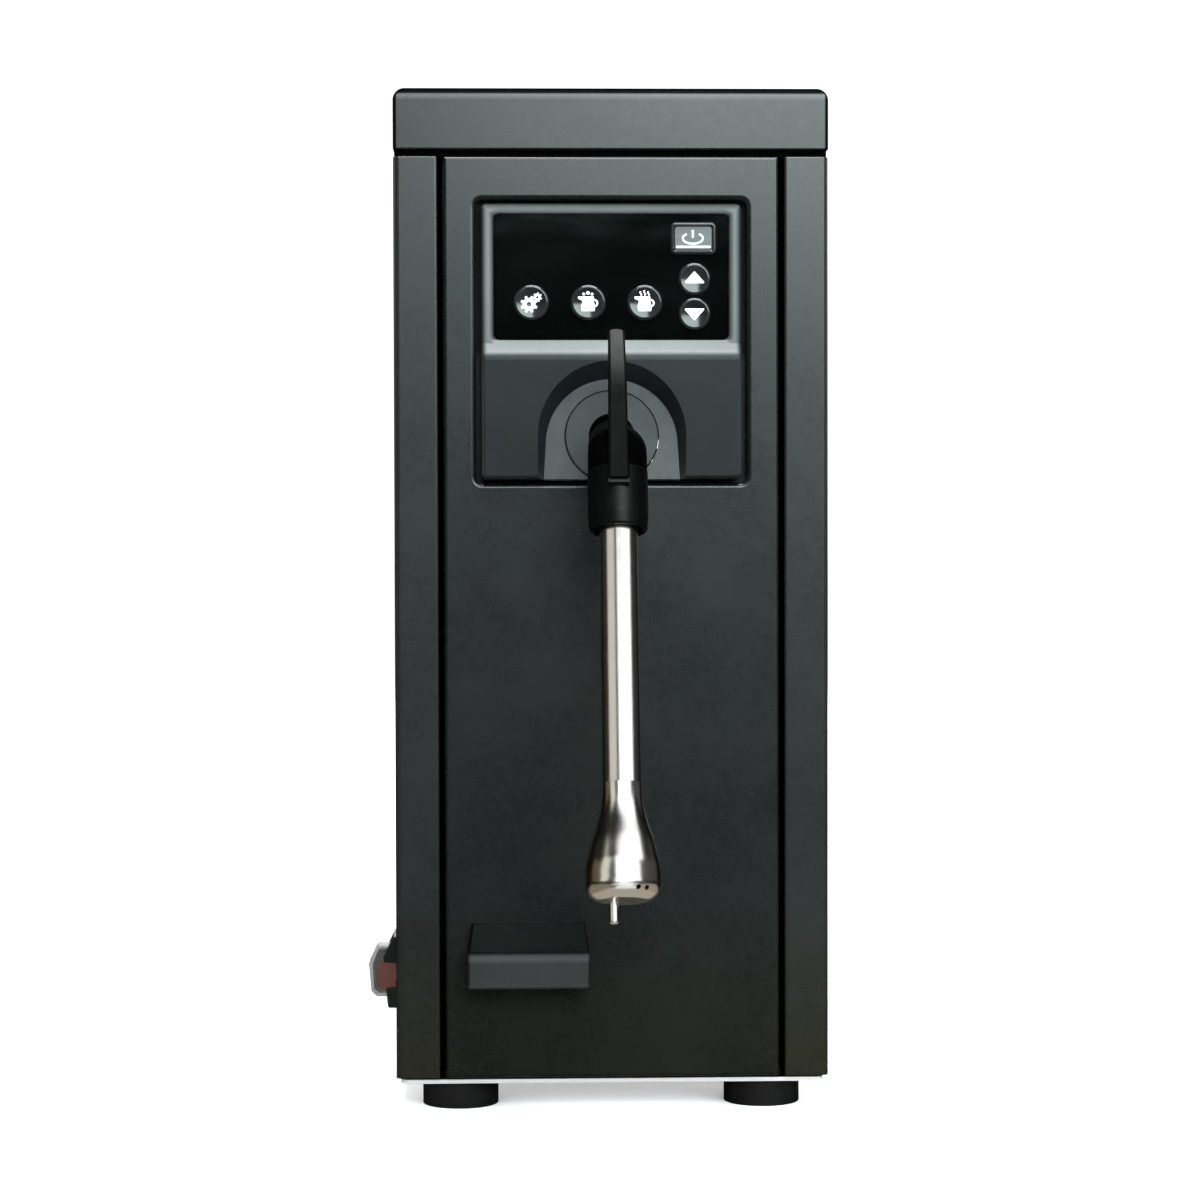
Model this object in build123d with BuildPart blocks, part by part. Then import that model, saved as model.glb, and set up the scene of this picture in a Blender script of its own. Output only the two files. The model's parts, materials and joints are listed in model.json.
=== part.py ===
from build123d import *
import os
from math import atan2, cos, degrees, radians, sin, tan

os.makedirs("parts", exist_ok=True)

# Counter-top milk steamer, millimetres, +Z up, front faces -Y.
# The origin is the middle of the four feet on the standing plane.

# ---------------------------------------------------------------- driving dimensions
CASE_W = 170.0            # width over the side panels
CASE_D = 360.0            # front panel face to back panel face
FOOT_H = 10.5             # standing plane to base plate
BASE_T = 2.5              # base plate thickness
PANEL_Z0 = FOOT_H + BASE_T
PANEL_Z1 = 373.7          # top edge of the panels
COVER_Z0 = 376.2          # lower edge of the top cover
TOTAL_H = 400.0
COVER_R = 4.6             # upper corners of the top cover
SHEET = 1.5               # sheet thickness
STRIP_W = 17.5            # front flange of a side panel
PANEL_W = 130.9           # front and back panel width
LIP = 10.0                # folded return of a panel

FOOT_R = 15.0
FOOT_X = 60.0
FOOT_Y = 160.5

CUT_W, CUT_Z0, CUT_Z1, CUT_R = 105.8, 246.4, 356.6, 2.4      # cut-out in the front panel
HOUS_W, HOUS_Z0, HOUS_Z1 = 101.6, 247.7, 355.1               # control housing
FRAME_D = 1.6             # window frame, in front of the front panel
BLOCK_D = 6.0             # lower block, in front of the front panel
LEDGE_Z0, LEDGE_Z1 = 296.37, 300.9
WIN_W, WIN_Z0, WIN_Z1, WIN_R = 92.0, 302.1, 351.4, 2.4
WIN_EDGE = 0.27           # window end of the sloped ledge
WIN_FLOOR = -4.1
LENS_BACK, LENS_FRONT = -4.05, -1.8

POWER_XZ = (32.2, 341.9)
UP_XZ = (32.6, 326.0)
DOWN_XZ = (32.6, 312.4)
SET_XZ = (-31.2, 316.8)
FROTH_XZ = (-9.0, 316.8)
STEAM_XZ = (13.1, 316.8)
SMALL_R, BIG_R = 6.3, 6.9
DISH_R = 22.0             # radius of the dished button faces
POWER_W, POWER_H = 18.0, 12.6
BUTTON_TRAVEL = 1.0

ARCH_HALF, ARCH_SPRING, ARCH_TOP = 29.2, 265.0, 294.2        # front outline of the arched recess
INNER_FOOT, INNER_HALF, INNER_TOP = 27.4, 25.9, 23.0         # outline on the inclined back plane
DISC_Z = 264.5
INCLINE = 10.2            # back plane leans back at the top
DISC_R = 18.2

BALL_R = 11.0
BALL_BEHIND = 6.0         # ball centre behind the back plane
NECK_R = 5.0
ELBOW_D, ELBOW_Z = 58.0, 256.4                               # elbow centre, in front of the panel
WAND_TILT = 17.0          # wand axis from the vertical, foot forward
TUBE_R = 7.2
GRIP_R, GRIP_T0, GRIP_T1 = 11.2, 6.6, 29.9
NOZ_T0, NOZ_T1 = 125.4, 168.0
PROBE_T1, PROBE_R, PROBE_X = 176.4, 1.75, -3.5
LEVER_T0, LEVER_T1 = -47.2, 12.6                             # tip and foot of the thumb lever

HOOD_X, HOOD_MID, HOOD_W = -32.1, -33.1, 48.0                # purge outlet, middle and width of its hood
HOOD_Z0, HOOD_Z1, HOOD_D = 50.3, 74.2, 20.2

SW_Y, SW_Z = -120.0, 47.6                                    # mains rocker on the left side

BOIL_Y = 55.0
BOIL_R, BOIL_FL_R = 50.0, 62.0
BOIL_Z0, BOIL_Z1 = 73.0, 225.0
LID_Z0, LID_Z1 = 227.0, 231.0
PORT_R = 36.0

yF = -CASE_D / 2
yB = CASE_D / 2
xL = -CASE_W / 2
xR = CASE_W / 2


def front_at(d):
    """Vertical plane d mm in front of the front panel, local x = X, local y = Z."""
    return Plane.XZ.offset(CASE_D / 2 + d)


# inclined back plane of the arched recess
DISC_D = 4.0 - (DISC_Z - 247.5) * tan(radians(INCLINE))
nY, nZ = -cos(radians(INCLINE)), sin(radians(INCLINE))
DISC_PL = Plane(origin=(0, yF - DISC_D, DISC_Z), x_dir=(1, 0, 0), z_dir=(0, nY, nZ))
BALL = Vector(0, yF - DISC_D - BALL_BEHIND * nY, DISC_Z - BALL_BEHIND * nZ)

# neck runs from the ball to the elbow, wand axis from the elbow down and forward
ELBOW = Vector(0, yF - ELBOW_D, ELBOW_Z)
NECK_DIR = (ELBOW - BALL).normalized()
NECK_L = (ELBOW - BALL).length
NECK_PL = Plane(origin=BALL, x_dir=(1, 0, 0), z_dir=NECK_DIR)
ws, wc = sin(radians(WAND_TILT)), cos(radians(WAND_TILT))
WAND_PL = Plane(origin=ELBOW, x_dir=(1, 0, 0), z_dir=(0, -ws, -wc))       # local z runs down the wand
WAND_SEC = Plane(origin=ELBOW, x_dir=(1, 0, 0), z_dir=(0, wc, -ws))       # local x = radius, local y = down the wand
WAND_SIDE = Plane(origin=ELBOW, x_dir=(0, -wc, ws), z_dir=(1, 0, 0))      # local x = forward, local y = down the wand
WAND_FRONT = Plane(origin=ELBOW, x_dir=(1, 0, 0), z_dir=(0, -wc, ws))     # local y = up the wand, seen from the front
WAND_AXIS = Axis(ELBOW, (0, -ws, -wc))

panel_mid = (PANEL_Z0 + PANEL_Z1) / 2
panel_h = PANEL_Z1 - PANEL_Z0
hous_mid = (HOUS_Z0 + HOUS_Z1) / 2
hous_h = HOUS_Z1 - HOUS_Z0
cut_mid = (CUT_Z0 + CUT_Z1) / 2
cut_h = CUT_Z1 - CUT_Z0
win_mid = (WIN_Z0 + WIN_Z1) / 2
win_h = WIN_Z1 - WIN_Z0

feet_xy = [(sx * FOOT_X, sy * FOOT_Y) for sx in (-1, 1) for sy in (-1, 1)]
base_screw_xy = [(sx * 76.0, sy * 90.0) for sx in (-1, 1) for sy in (-1, 1)] + [
    (sx * 40.0, sy * (yB - 6.0)) for sx in (-1, 1) for sy in (-1, 1)
]
flange_screws = [(sx * 57.0, sz) for sx in (-1, 1) for sz in (241.0, 361.0)]
hood_screws = [(HOOD_X - 16, 57.0), (HOOD_X + 16, 57.0)]

# ---------------------------------------------------------------- casing
# stainless base plate, its edge shows as a bright line under the panels
with BuildPart() as base_plate:
    with BuildSketch(Plane.XY.offset(FOOT_H)):
        RectangleRounded(CASE_W - 3.6, CASE_D - 3.0, 3.0)
    extrude(amount=BASE_T)
    with BuildSketch(Plane.XY.offset(FOOT_H)):
        with Locations(*feet_xy):
            Circle(3.2)
        with Locations(*base_screw_xy):
            Circle(2.1)
        with Locations((0, -40)):
            with GridLocations(0, 9, 1, 7):
                SlotOverall(70, 4)
    extrude(amount=BASE_T, mode=Mode.SUBTRACT)
    fillet(base_plate.faces().sort_by(Axis.Z)[0].outer_wire().edges(), 0.5)
    # shallow seats for the low screw heads
    with BuildSketch(Plane.XY.offset(FOOT_H)):
        with Locations(*base_screw_xy):
            Circle(3.7)
    extrude(amount=1.2, mode=Mode.SUBTRACT)
    # groove round the upper edge, a dark line between the plate and the panels
    with BuildSketch(Plane.XY.offset(PANEL_Z0 - 0.8)):
        Rectangle(CASE_W + 10, CASE_D + 10)
        RectangleRounded(CASE_W - 6.0, CASE_D - 5.4, 2.0, mode=Mode.SUBTRACT)
    extrude(amount=2, mode=Mode.SUBTRACT)
base_plate.part.label = "base_plate"
export_step(base_plate.part, "parts/base_plate.step")

# left side panel: folded sheet, front flange, side, rear flange, with the switch cut-out
with BuildPart() as left_side_panel:
    with BuildSketch(Plane.XY.offset(PANEL_Z0)) as lsk:
        with Locations((xL + STRIP_W / 2, 0)):
            Rectangle(STRIP_W, CASE_D)
        with Locations((xL + SHEET + 20, 0)):
            Rectangle(40, CASE_D - 2 * SHEET, mode=Mode.SUBTRACT)
        with Locations(
            (xL + STRIP_W - SHEET / 2, yF + 7.0),
            (xL + STRIP_W - SHEET / 2, yB - 7.0),
        ):
            Rectangle(SHEET, 14.0)
        with Locations(
            (xL + STRIP_W - 4.3, yF + 13.25),
            (xL + STRIP_W - 4.3, yB - 13.25),
        ):
            Rectangle(13.4, SHEET)
        fillet([v for v in lsk.vertices() if v.X < xL + 0.1], 2.4)
        fillet([v for v in lsk.vertices() if abs(v.X - xL - STRIP_W) < 0.1 and abs(v.Y) > yB - 0.1], 1.3)
    extrude(amount=panel_h)
    fillet(
        left_side_panel.edges().group_by(Axis.Z)[-1].filter_by(Axis.Y).sort_by(Axis.X)[0:1]
        + left_side_panel.edges().group_by(Axis.Z)[-1].filter_by(Axis.X).sort_by(Axis.Y)[0:1],
        0.7,
    )
    with BuildSketch(Plane.XY.offset(PANEL_Z0)):
        with Locations((xL + SHEET + 6.7, 0)):
            Rectangle(14, 300)
        with Locations((-76, 90), (-76, -90)):
            Circle(1.7, mode=Mode.SUBTRACT)
    extrude(amount=SHEET)
    with BuildSketch(Plane.XY.offset(PANEL_Z1 - SHEET)):
        with Locations((xL + SHEET + 5.7, 0)):
            Rectangle(12, 300)
        with Locations((-76.0, 90), (-76.0, -90)):
            Circle(1.7, mode=Mode.SUBTRACT)
    extrude(amount=SHEET)
    with BuildSketch(Plane.YZ.offset(xL)):
        with Locations((SW_Y, SW_Z)):
            Rectangle(21.6, 27.0)
        with Locations((105, 300)):
            with GridLocations(0, 9, 1, 9):
                SlotOverall(70, 4)
    extrude(amount=4, both=True, mode=Mode.SUBTRACT)
    # tabs that close the foot of the grooves beside the front and back panels
    with BuildSketch(Plane.XY.offset(PANEL_Z0)):
        with Locations((xL + STRIP_W + 0.7, yF + 7.0), (xL + STRIP_W + 0.7, yB - 7.0)):
            Rectangle(2.4, 10.4)
    extrude(amount=2.6)
left_side_panel.part.label = "left_side_panel"
export_step(left_side_panel.part, "parts/left_side_panel.step")

# right side panel: the same folded sheet, plain apart from the vents
with BuildPart() as right_side_panel:
    with BuildSketch(Plane.XY.offset(PANEL_Z0)) as rsk:
        with Locations((xR - STRIP_W / 2, 0)):
            Rectangle(STRIP_W, CASE_D)
        with Locations((xR - SHEET - 20, 0)):
            Rectangle(40, CASE_D - 2 * SHEET, mode=Mode.SUBTRACT)
        with Locations(
            (xR - STRIP_W + SHEET / 2, yF + 7.0),
            (xR - STRIP_W + SHEET / 2, yB - 7.0),
        ):
            Rectangle(SHEET, 14.0)
        with Locations(
            (xR - STRIP_W + 4.3, yF + 13.25),
            (xR - STRIP_W + 4.3, yB - 13.25),
        ):
            Rectangle(13.4, SHEET)
        fillet([v for v in rsk.vertices() if v.X > xR - 0.1], 2.4)
        fillet([v for v in rsk.vertices() if abs(v.X - xR + STRIP_W) < 0.1 and abs(v.Y) > yB - 0.1], 1.3)
    extrude(amount=panel_h)
    fillet(
        right_side_panel.edges().group_by(Axis.Z)[-1].filter_by(Axis.Y).sort_by(Axis.X)[-1:]
        + right_side_panel.edges().group_by(Axis.Z)[-1].filter_by(Axis.X).sort_by(Axis.Y)[0:1],
        0.7,
    )
    with BuildSketch(Plane.XY.offset(PANEL_Z0)):
        with Locations((xR - SHEET - 6.7, 0)):
            Rectangle(14, 300)
        with Locations((76, 90), (76, -90)):
            Circle(1.7, mode=Mode.SUBTRACT)
    extrude(amount=SHEET)
    with BuildSketch(Plane.XY.offset(PANEL_Z1 - SHEET)):
        with Locations((xR - SHEET - 5.7, 0)):
            Rectangle(12, 300)
        with Locations((76.0, 90), (76.0, -90)):
            Circle(1.7, mode=Mode.SUBTRACT)
    extrude(amount=SHEET)
    with BuildSketch(Plane.YZ.offset(xR)):
        with Locations((105, 300)):
            with GridLocations(0, 9, 1, 9):
                SlotOverall(70, 4)
    extrude(amount=4, both=True, mode=Mode.SUBTRACT)
    with BuildSketch(Plane.XY.offset(PANEL_Z0)):
        with Locations((xR - STRIP_W - 0.7, yF + 7.0), (xR - STRIP_W - 0.7, yB - 7.0)):
            Rectangle(2.4, 10.4)
    extrude(amount=2.6)
right_side_panel.part.label = "right_side_panel"
export_step(right_side_panel.part, "parts/right_side_panel.step")

# front panel: a shallow pan with folded returns and the control cut-out
with BuildPart() as front_panel:
    with BuildSketch(front_at(0)):
        with Locations((0, panel_mid)):
            Rectangle(PANEL_W, panel_h)
    extrude(amount=-(LIP + SHEET))
    fillet(front_panel.faces().sort_by(Axis.Y)[0].edges(), 1.3)
    with BuildSketch(front_at(-SHEET)):
        with Locations((0, panel_mid)):
            Rectangle(PANEL_W - 2 * SHEET, panel_h - 2 * SHEET)
    extrude(amount=-(LIP + 5), mode=Mode.SUBTRACT)
    with BuildSketch(front_at(-SHEET)):
        with Locations((0, cut_mid)):
            RectangleRounded(CUT_W + 2 * SHEET, cut_h + 2 * SHEET, CUT_R + SHEET)
    extrude(amount=-5)
    with BuildSketch(front_at(2)):
        with Locations((0, cut_mid)):
            RectangleRounded(CUT_W, cut_h, CUT_R)
    extrude(amount=-12, mode=Mode.SUBTRACT)
    fillet(
        [
            e
            for e in front_panel.faces().sort_by(Axis.Y)[0].edges()
            if abs(e.center().X) < CUT_W / 2 + 1 and CUT_Z0 - 1 < e.center().Z < CUT_Z1 + 1
        ],
        2.0,
    )
    # screw bosses behind the panel for the control housing
    with BuildSketch(front_at(-SHEET)):
        with Locations(*flange_screws):
            Circle(3.0)
    extrude(amount=-5.3)
    with BuildSketch(front_at(-2.2)):
        with Locations(*flange_screws):
            Circle(1.55)
    extrude(amount=-6, mode=Mode.SUBTRACT)
    # purge pipe and hood screw holes, base screw holes in the lower return
    with BuildSketch(front_at(1)):
        with Locations((HOOD_X, 60)):
            Circle(4.2)
        with Locations(*hood_screws):
            Circle(1.7)
    extrude(amount=-4, mode=Mode.SUBTRACT)
    with BuildSketch(Plane.XY.offset(PANEL_Z0 - 1)):
        with Locations((-40, yF + 6), (40, yF + 6)):
            Circle(1.7)
    extrude(amount=4, mode=Mode.SUBTRACT)
    with BuildSketch(Plane.XY.offset(PANEL_Z1 - 3)):
        with Locations((-40, yF + 9), (40, yF + 9)):
            Circle(1.7)
    extrude(amount=5, mode=Mode.SUBTRACT)
front_panel.part.label = "front_panel"
export_step(front_panel.part, "parts/front_panel.step")

# back panel: the same pan, with vents, inlet and gland holes
with BuildPart() as back_panel:
    with BuildSketch(Plane.XZ.offset(-yB)):
        with Locations((0, panel_mid)):
            Rectangle(PANEL_W, panel_h)
    extrude(amount=LIP + SHEET)
    fillet(back_panel.faces().sort_by(Axis.Y)[-1].edges(), 1.3)
    with BuildSketch(Plane.XZ.offset(-yB + SHEET)):
        with Locations((0, panel_mid)):
            Rectangle(PANEL_W - 2 * SHEET, panel_h - 2 * SHEET)
    extrude(amount=LIP + 5, mode=Mode.SUBTRACT)
    with BuildSketch(Plane.XZ.offset(-yB - 1)):
        with Locations((0, 285)):
            with GridLocations(0, 10, 1, 10):
                SlotOverall(90, 4.5)
        with Locations((35, 60)):
            Circle(13.6)
        with Locations((-40, 45)):
            Circle(9.2)
    extrude(amount=4, mode=Mode.SUBTRACT)
    with BuildSketch(Plane.XY.offset(PANEL_Z0 - 1)):
        with Locations((-40, yB - 6), (40, yB - 6)):
            Circle(1.7)
    extrude(amount=4, mode=Mode.SUBTRACT)
    with BuildSketch(Plane.XY.offset(PANEL_Z1 - 3)):
        with Locations((-40, yB - 9), (40, yB - 9)):
            Circle(1.7)
    extrude(amount=5, mode=Mode.SUBTRACT)
back_panel.part.label = "back_panel"
export_step(back_panel.part, "parts/back_panel.step")

# top frame: recessed ring that ties the panels together and carries the cover
with BuildPart() as top_frame:
    with BuildSketch(Plane.XY.offset(PANEL_Z1)):
        Rectangle(CASE_W - 0.8, CASE_D - 8)
        Rectangle(CASE_W - 44, CASE_D - 44, mode=Mode.SUBTRACT)
    extrude(amount=2.4)
    with BuildSketch(Plane.XY.offset(PANEL_Z1)):
        Rectangle(CASE_W - 8, CASE_D - 8)
        Rectangle(CASE_W - 11, CASE_D - 11, mode=Mode.SUBTRACT)
    extrude(amount=TOTAL_H - SHEET - PANEL_Z1)
    with BuildSketch(Plane.XY.offset(PANEL_Z1 - 1)):
        with Locations(
            (-76.0, 90), (-76.0, -90), (76.0, 90), (76.0, -90),
            (-40, yB - 9), (40, yB - 9), (-40, yF + 9), (40, yF + 9),
        ):
            Circle(1.7)
    extrude(amount=6, mode=Mode.SUBTRACT)
    with BuildSketch(Plane.XZ.offset(-yB)):
        with Locations((-60, 386), (60, 386)):
            Circle(1.7)
    extrude(amount=12, mode=Mode.SUBTRACT)
top_frame.part.label = "top_frame"
export_step(top_frame.part, "parts/top_frame.step")

# top cover: rounded cap with a skirt
with BuildPart() as top_cover:
    with BuildSketch(front_at(1)) as cover_sk:
        with Locations((0, (COVER_Z0 + TOTAL_H) / 2)):
            Rectangle(CASE_W, TOTAL_H - COVER_Z0)
        fillet(cover_sk.vertices().group_by(Axis.Y)[-1], COVER_R)
    extrude(amount=-(CASE_D + 2))
    fillet(
        [e for f in (0, -1) for e in top_cover.faces().sort_by(Axis.Y)[f].edges() if e.center().Z > COVER_Z0 + 0.1],
        1.3,
    )
    with BuildSketch(Plane.XY.offset(COVER_Z0)):
        RectangleRounded(CASE_W - 2 * SHEET, CASE_D + 2 - 2 * SHEET, 1.5)
    extrude(amount=TOTAL_H - SHEET - COVER_Z0 - 2.8, mode=Mode.SUBTRACT)
    with BuildSketch(Plane.XY.offset(COVER_Z0)):
        Rectangle(CASE_W - 2 * SHEET - 4.4, CASE_D + 2 - 2 * SHEET - 4.4)
    extrude(amount=TOTAL_H - SHEET - COVER_Z0, mode=Mode.SUBTRACT)
    fillet(top_cover.faces().sort_by(Axis.Z)[0].outer_wire().edges(), 0.6)
    with BuildSketch(Plane.XZ.offset(-yB - 3)):
        with Locations((-60, 386), (60, 386)):
            Circle(1.7)
    extrude(amount=8, mode=Mode.SUBTRACT)
top_cover.part.label = "top_cover"
export_step(top_cover.part, "parts/top_cover.step")

# four rubber feet
with BuildPart() as rubber_feet:
    with BuildSketch(Plane.XY):
        with Locations(*feet_xy):
            Circle(FOOT_R)
    extrude(amount=FOOT_H)
    fillet(rubber_feet.edges().group_by(Axis.Z)[0], 0.3)
    with BuildSketch(Plane.XY.offset(FOOT_H - 2.6)):
        with Locations(*feet_xy):
            Circle(6.6)
    extrude(amount=2.6, mode=Mode.SUBTRACT)
rubber_feet.part.label = "rubber_feet"
export_step(rubber_feet.part, "parts/rubber_feet.step")

# studs moulded into the feet, each with its nut above the base plate
with BuildPart() as foot_studs:
    with BuildSketch(Plane.XY.offset(FOOT_H - 2.5)):
        with Locations(*feet_xy):
            Circle(6.5)
    extrude(amount=2.4)
    with BuildSketch(Plane.XY.offset(FOOT_H - 2.5)):
        with Locations(*feet_xy):
            Circle(3.0)
    extrude(amount=14)
    with BuildSketch(Plane.XY.offset(PANEL_Z0 + 0.1)):
        with Locations(*feet_xy):
            RegularPolygon(5.6, 6)
    extrude(amount=5)
foot_studs.part.label = "foot_studs"
export_step(foot_studs.part, "parts/foot_studs.step")

# casing screws: up through the base plate, down through the top frame, in at the back of the cover
with BuildPart() as casing_screws:
    with BuildSketch(Plane.XY.offset(FOOT_H + 0.1)):
        with Locations(*base_screw_xy):
            Circle(3.4)
    extrude(amount=1.1)
    with BuildSketch(Plane.XY.offset(FOOT_H + 0.1)):
        with Locations(*base_screw_xy):
            Circle(1.6)
    extrude(amount=8.9)
    with BuildSketch(Plane.XY.offset(PANEL_Z1 + 2.4)):
        with Locations((-40, yB - 9), (40, yB - 9), (-40, yF + 9), (40, yF + 9)):
            Circle(1.4)
        with Locations((-76.0, 90), (-76.0, -90), (76.0, 90), (76.0, -90)):
            Circle(1.4)
    extrude(amount=-8)
    with BuildSketch(Plane.XY.offset(PANEL_Z1 + 2.4)):
        with Locations((-40, yB - 9), (40, yB - 9), (-40, yF + 9), (40, yF + 9)):
            Circle(3.1)
        with Locations((-76.0, 90), (-76.0, -90), (76.0, 90), (76.0, -90)):
            Circle(3.1)
    extrude(amount=1.6)
    with BuildSketch(Plane.XZ.offset(-yB - 1)):
        with Locations((-60, 386), (60, 386)):
            Circle(3.2)
    extrude(amount=-1.8)
    with BuildSketch(Plane.XZ.offset(-yB - 1)):
        with Locations((-60, 386), (60, 386)):
            Circle(1.6)
    extrude(amount=9)
casing_screws.part.label = "casing_screws"
export_step(casing_screws.part, "parts/casing_screws.step")

# ---------------------------------------------------------------- control housing
# lower block of the housing, with its rounded, sloped ledge
with BuildPart() as housing_block:
    with BuildSketch(front_at(-18)):
        with Locations((0, hous_mid)):
            RectangleRounded(HOUS_W, hous_h, 2.2)
        with Locations((0, LEDGE_Z1 + 40)):
            Rectangle(HOUS_W + 4, 80, mode=Mode.SUBTRACT)
    extrude(amount=18 + BLOCK_D)
    with BuildSketch(Plane.YZ.offset(-80)) as ledge_sk:
        with BuildLine():
            Polyline(
                (yF - BLOCK_D, LEDGE_Z0 - 8),
                (yF - BLOCK_D, LEDGE_Z0),
                (yF - FRAME_D + 0.3, LEDGE_Z0 + BLOCK_D - FRAME_D + 0.3),
                (yF - FRAME_D + 0.3, 370),
                (yF - BLOCK_D - 3, 370),
                (yF - BLOCK_D - 3, LEDGE_Z0 - 8),
                close=True,
            )
        make_face()
        fillet([v for v in ledge_sk.vertices() if abs(v.X - (yF - BLOCK_D)) < 0.01 and abs(v.Y - LEDGE_Z0) < 0.01], 5.4)
    extrude(amount=160, mode=Mode.SUBTRACT)
    fillet(
        [e for e in housing_block.edges() if abs(e.center().Y - (yF - BLOCK_D)) < 0.05 and e.center().Z < LEDGE_Z0 - 6],
        1.6,
    )

# control housing: window frame and lower block in one moulding
with BuildPart() as control_housing:
    with BuildSketch(front_at(-18)):
        with Locations((0, hous_mid)):
            RectangleRounded(HOUS_W, hous_h, 2.2)
    extrude(amount=18 + FRAME_D)
    fillet(control_housing.faces().sort_by(Axis.Y)[0].edges(), 1.5)
    # recess for the window with a rounded edge
    with BuildSketch(front_at(FRAME_D + 1)):
        with Locations((0, win_mid)):
            RectangleRounded(WIN_W, win_h, WIN_R)
    extrude(amount=-(FRAME_D + 1 - WIN_FLOOR), mode=Mode.SUBTRACT)
    fillet(
        [
            e
            for e in control_housing.edges()
            if abs(e.center().Y - (yF - FRAME_D)) < 0.05 and abs(e.center().X) < WIN_W / 2 + 0.1 and WIN_Z0 - 0.1 < e.center().Z < WIN_Z1 + 0.1
        ],
        2.0,
    )
    # below the window the edge is sloped and runs on as the ledge
    with BuildSketch(Plane.YZ.offset(-WIN_W / 2)):
        with BuildLine():
            Polyline(
                (yF - BLOCK_D, LEDGE_Z0),
                (yF - WIN_EDGE, LEDGE_Z0 + BLOCK_D - WIN_EDGE),
                (yF - WIN_EDGE, WIN_Z0 + 3),
                (yF - BLOCK_D - 3, WIN_Z0 + 3),
                (yF - BLOCK_D - 3, LEDGE_Z0),
                close=True,
            )
        make_face()
    extrude(amount=WIN_W, mode=Mode.SUBTRACT)
    add(housing_block.part)
    # opening behind the window for the keys and the display
    with BuildSketch(front_at(0)):
        with Locations((0, 327.5)):
            RectangleRounded(86, 44.6, 2.0)
    extrude(amount=-22, mode=Mode.SUBTRACT)
    # rear flange that bears on the back of the front panel
    with BuildSketch(front_at(-9.0)):
        with Locations((0, cut_mid)):
            RectangleRounded(121, 126.4, 5)
            Rectangle(HOUS_W - 4, hous_h - 4, mode=Mode.SUBTRACT)
        with Locations(*flange_screws):
            Circle(1.7, mode=Mode.SUBTRACT)
    extrude(amount=2.15)
    # hollow behind the window and at both sides of the arch
    with BuildSketch(front_at(-30)):
        with Locations((0, 327.0)):
            Rectangle(96, 52)
        with Locations((-41.0, 273), (41.0, 273)):
            Rectangle(14, 44)
    extrude(amount=30 - 6.5, mode=Mode.SUBTRACT)
    # posts for the key board
    with BuildSketch(front_at(-5.5)):
        with Locations((-45.4, 303.8), (45.4, 303.8), (-45.4, 350.3), (45.4, 350.3)):
            Circle(2.2)
    extrude(amount=-7.45)
    # arched recess: front outline tapering to a smaller arch on the inclined plane
    with BuildSketch(front_at(BLOCK_D + 0.5)):
        with BuildLine():
            Line((-ARCH_HALF, 238), (ARCH_HALF, 238))
            Line((ARCH_HALF, 238), (ARCH_HALF, ARCH_SPRING))
            ThreePointArc((ARCH_HALF, ARCH_SPRING), (0, ARCH_TOP), (-ARCH_HALF, ARCH_SPRING))
            Line((-ARCH_HALF, ARCH_SPRING), (-ARCH_HALF, 238))
        make_face()
    with BuildSketch(DISC_PL):
        with BuildLine():
            Line((-INNER_FOOT, -27), (INNER_FOOT, -27))
            Line((INNER_FOOT, -27), (INNER_HALF, -2.4))
            ThreePointArc((INNER_HALF, -2.4), (0, INNER_TOP), (-INNER_HALF, -2.4))
            Line((-INNER_HALF, -2.4), (-INNER_FOOT, -27))
        make_face()
    loft(ruled=True, mode=Mode.SUBTRACT)
    # seat for the inclined surround, and the way through for the ball socket
    with BuildSketch(DISC_PL):
        with BuildLine():
            Line((-INNER_FOOT, -27), (INNER_FOOT, -27))
            Line((INNER_FOOT, -27), (INNER_HALF, -2.4))
            ThreePointArc((INNER_HALF, -2.4), (0, INNER_TOP), (-INNER_HALF, -2.4))
            Line((-INNER_HALF, -2.4), (-INNER_FOOT, -27))
        make_face()
    extrude(amount=-3.1, mode=Mode.SUBTRACT)
    with BuildSketch(DISC_PL):
        Circle(20.0)
    extrude(amount=-40, mode=Mode.SUBTRACT)
control_housing.part.label = "control_housing"
export_step(control_housing.part, "parts/control_housing.step")

# lighter inclined surround inside the arch
SURR_FOOT = INNER_HALF + (INNER_FOOT - INNER_HALF) * (17.0 - 2.4) / (27.0 - 2.4) - 0.2
with BuildPart() as arm_surround:
    with BuildSketch(DISC_PL):
        with BuildLine():
            Line((-SURR_FOOT, -17.0), (SURR_FOOT, -17.0))
            Line((SURR_FOOT, -17.0), (INNER_HALF - 0.2, -2.4))
            ThreePointArc((INNER_HALF - 0.2, -2.4), (0, INNER_TOP - 0.2), (-INNER_HALF + 0.2, -2.4))
            Line((-INNER_HALF + 0.2, -2.4), (-SURR_FOOT, -17.0))
        make_face()
        Circle(DISC_R + 0.3, mode=Mode.SUBTRACT)
    extrude(amount=-3.0)
arm_surround.part.label = "arm_surround"
export_step(arm_surround.part, "parts/arm_surround.step")

# glossy window with the button openings
with BuildPart() as display_window:
    with BuildSketch(front_at(LENS_BACK)):
        with Locations((0, win_mid)):
            RectangleRounded(WIN_W - 0.3, win_h - 0.3, WIN_R - 0.1)
        with Locations(UP_XZ, DOWN_XZ):
            Circle(SMALL_R + 0.1, mode=Mode.SUBTRACT)
        with Locations(SET_XZ, FROTH_XZ, STEAM_XZ):
            Circle(BIG_R + 0.1, mode=Mode.SUBTRACT)
        with Locations(POWER_XZ):
            RectangleRounded(POWER_W + 0.2, POWER_H + 0.2, 2.1, mode=Mode.SUBTRACT)
    extrude(amount=LENS_FRONT - LENS_BACK)
display_window.part.label = "display_window"
export_step(display_window.part, "parts/display_window.step")

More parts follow.
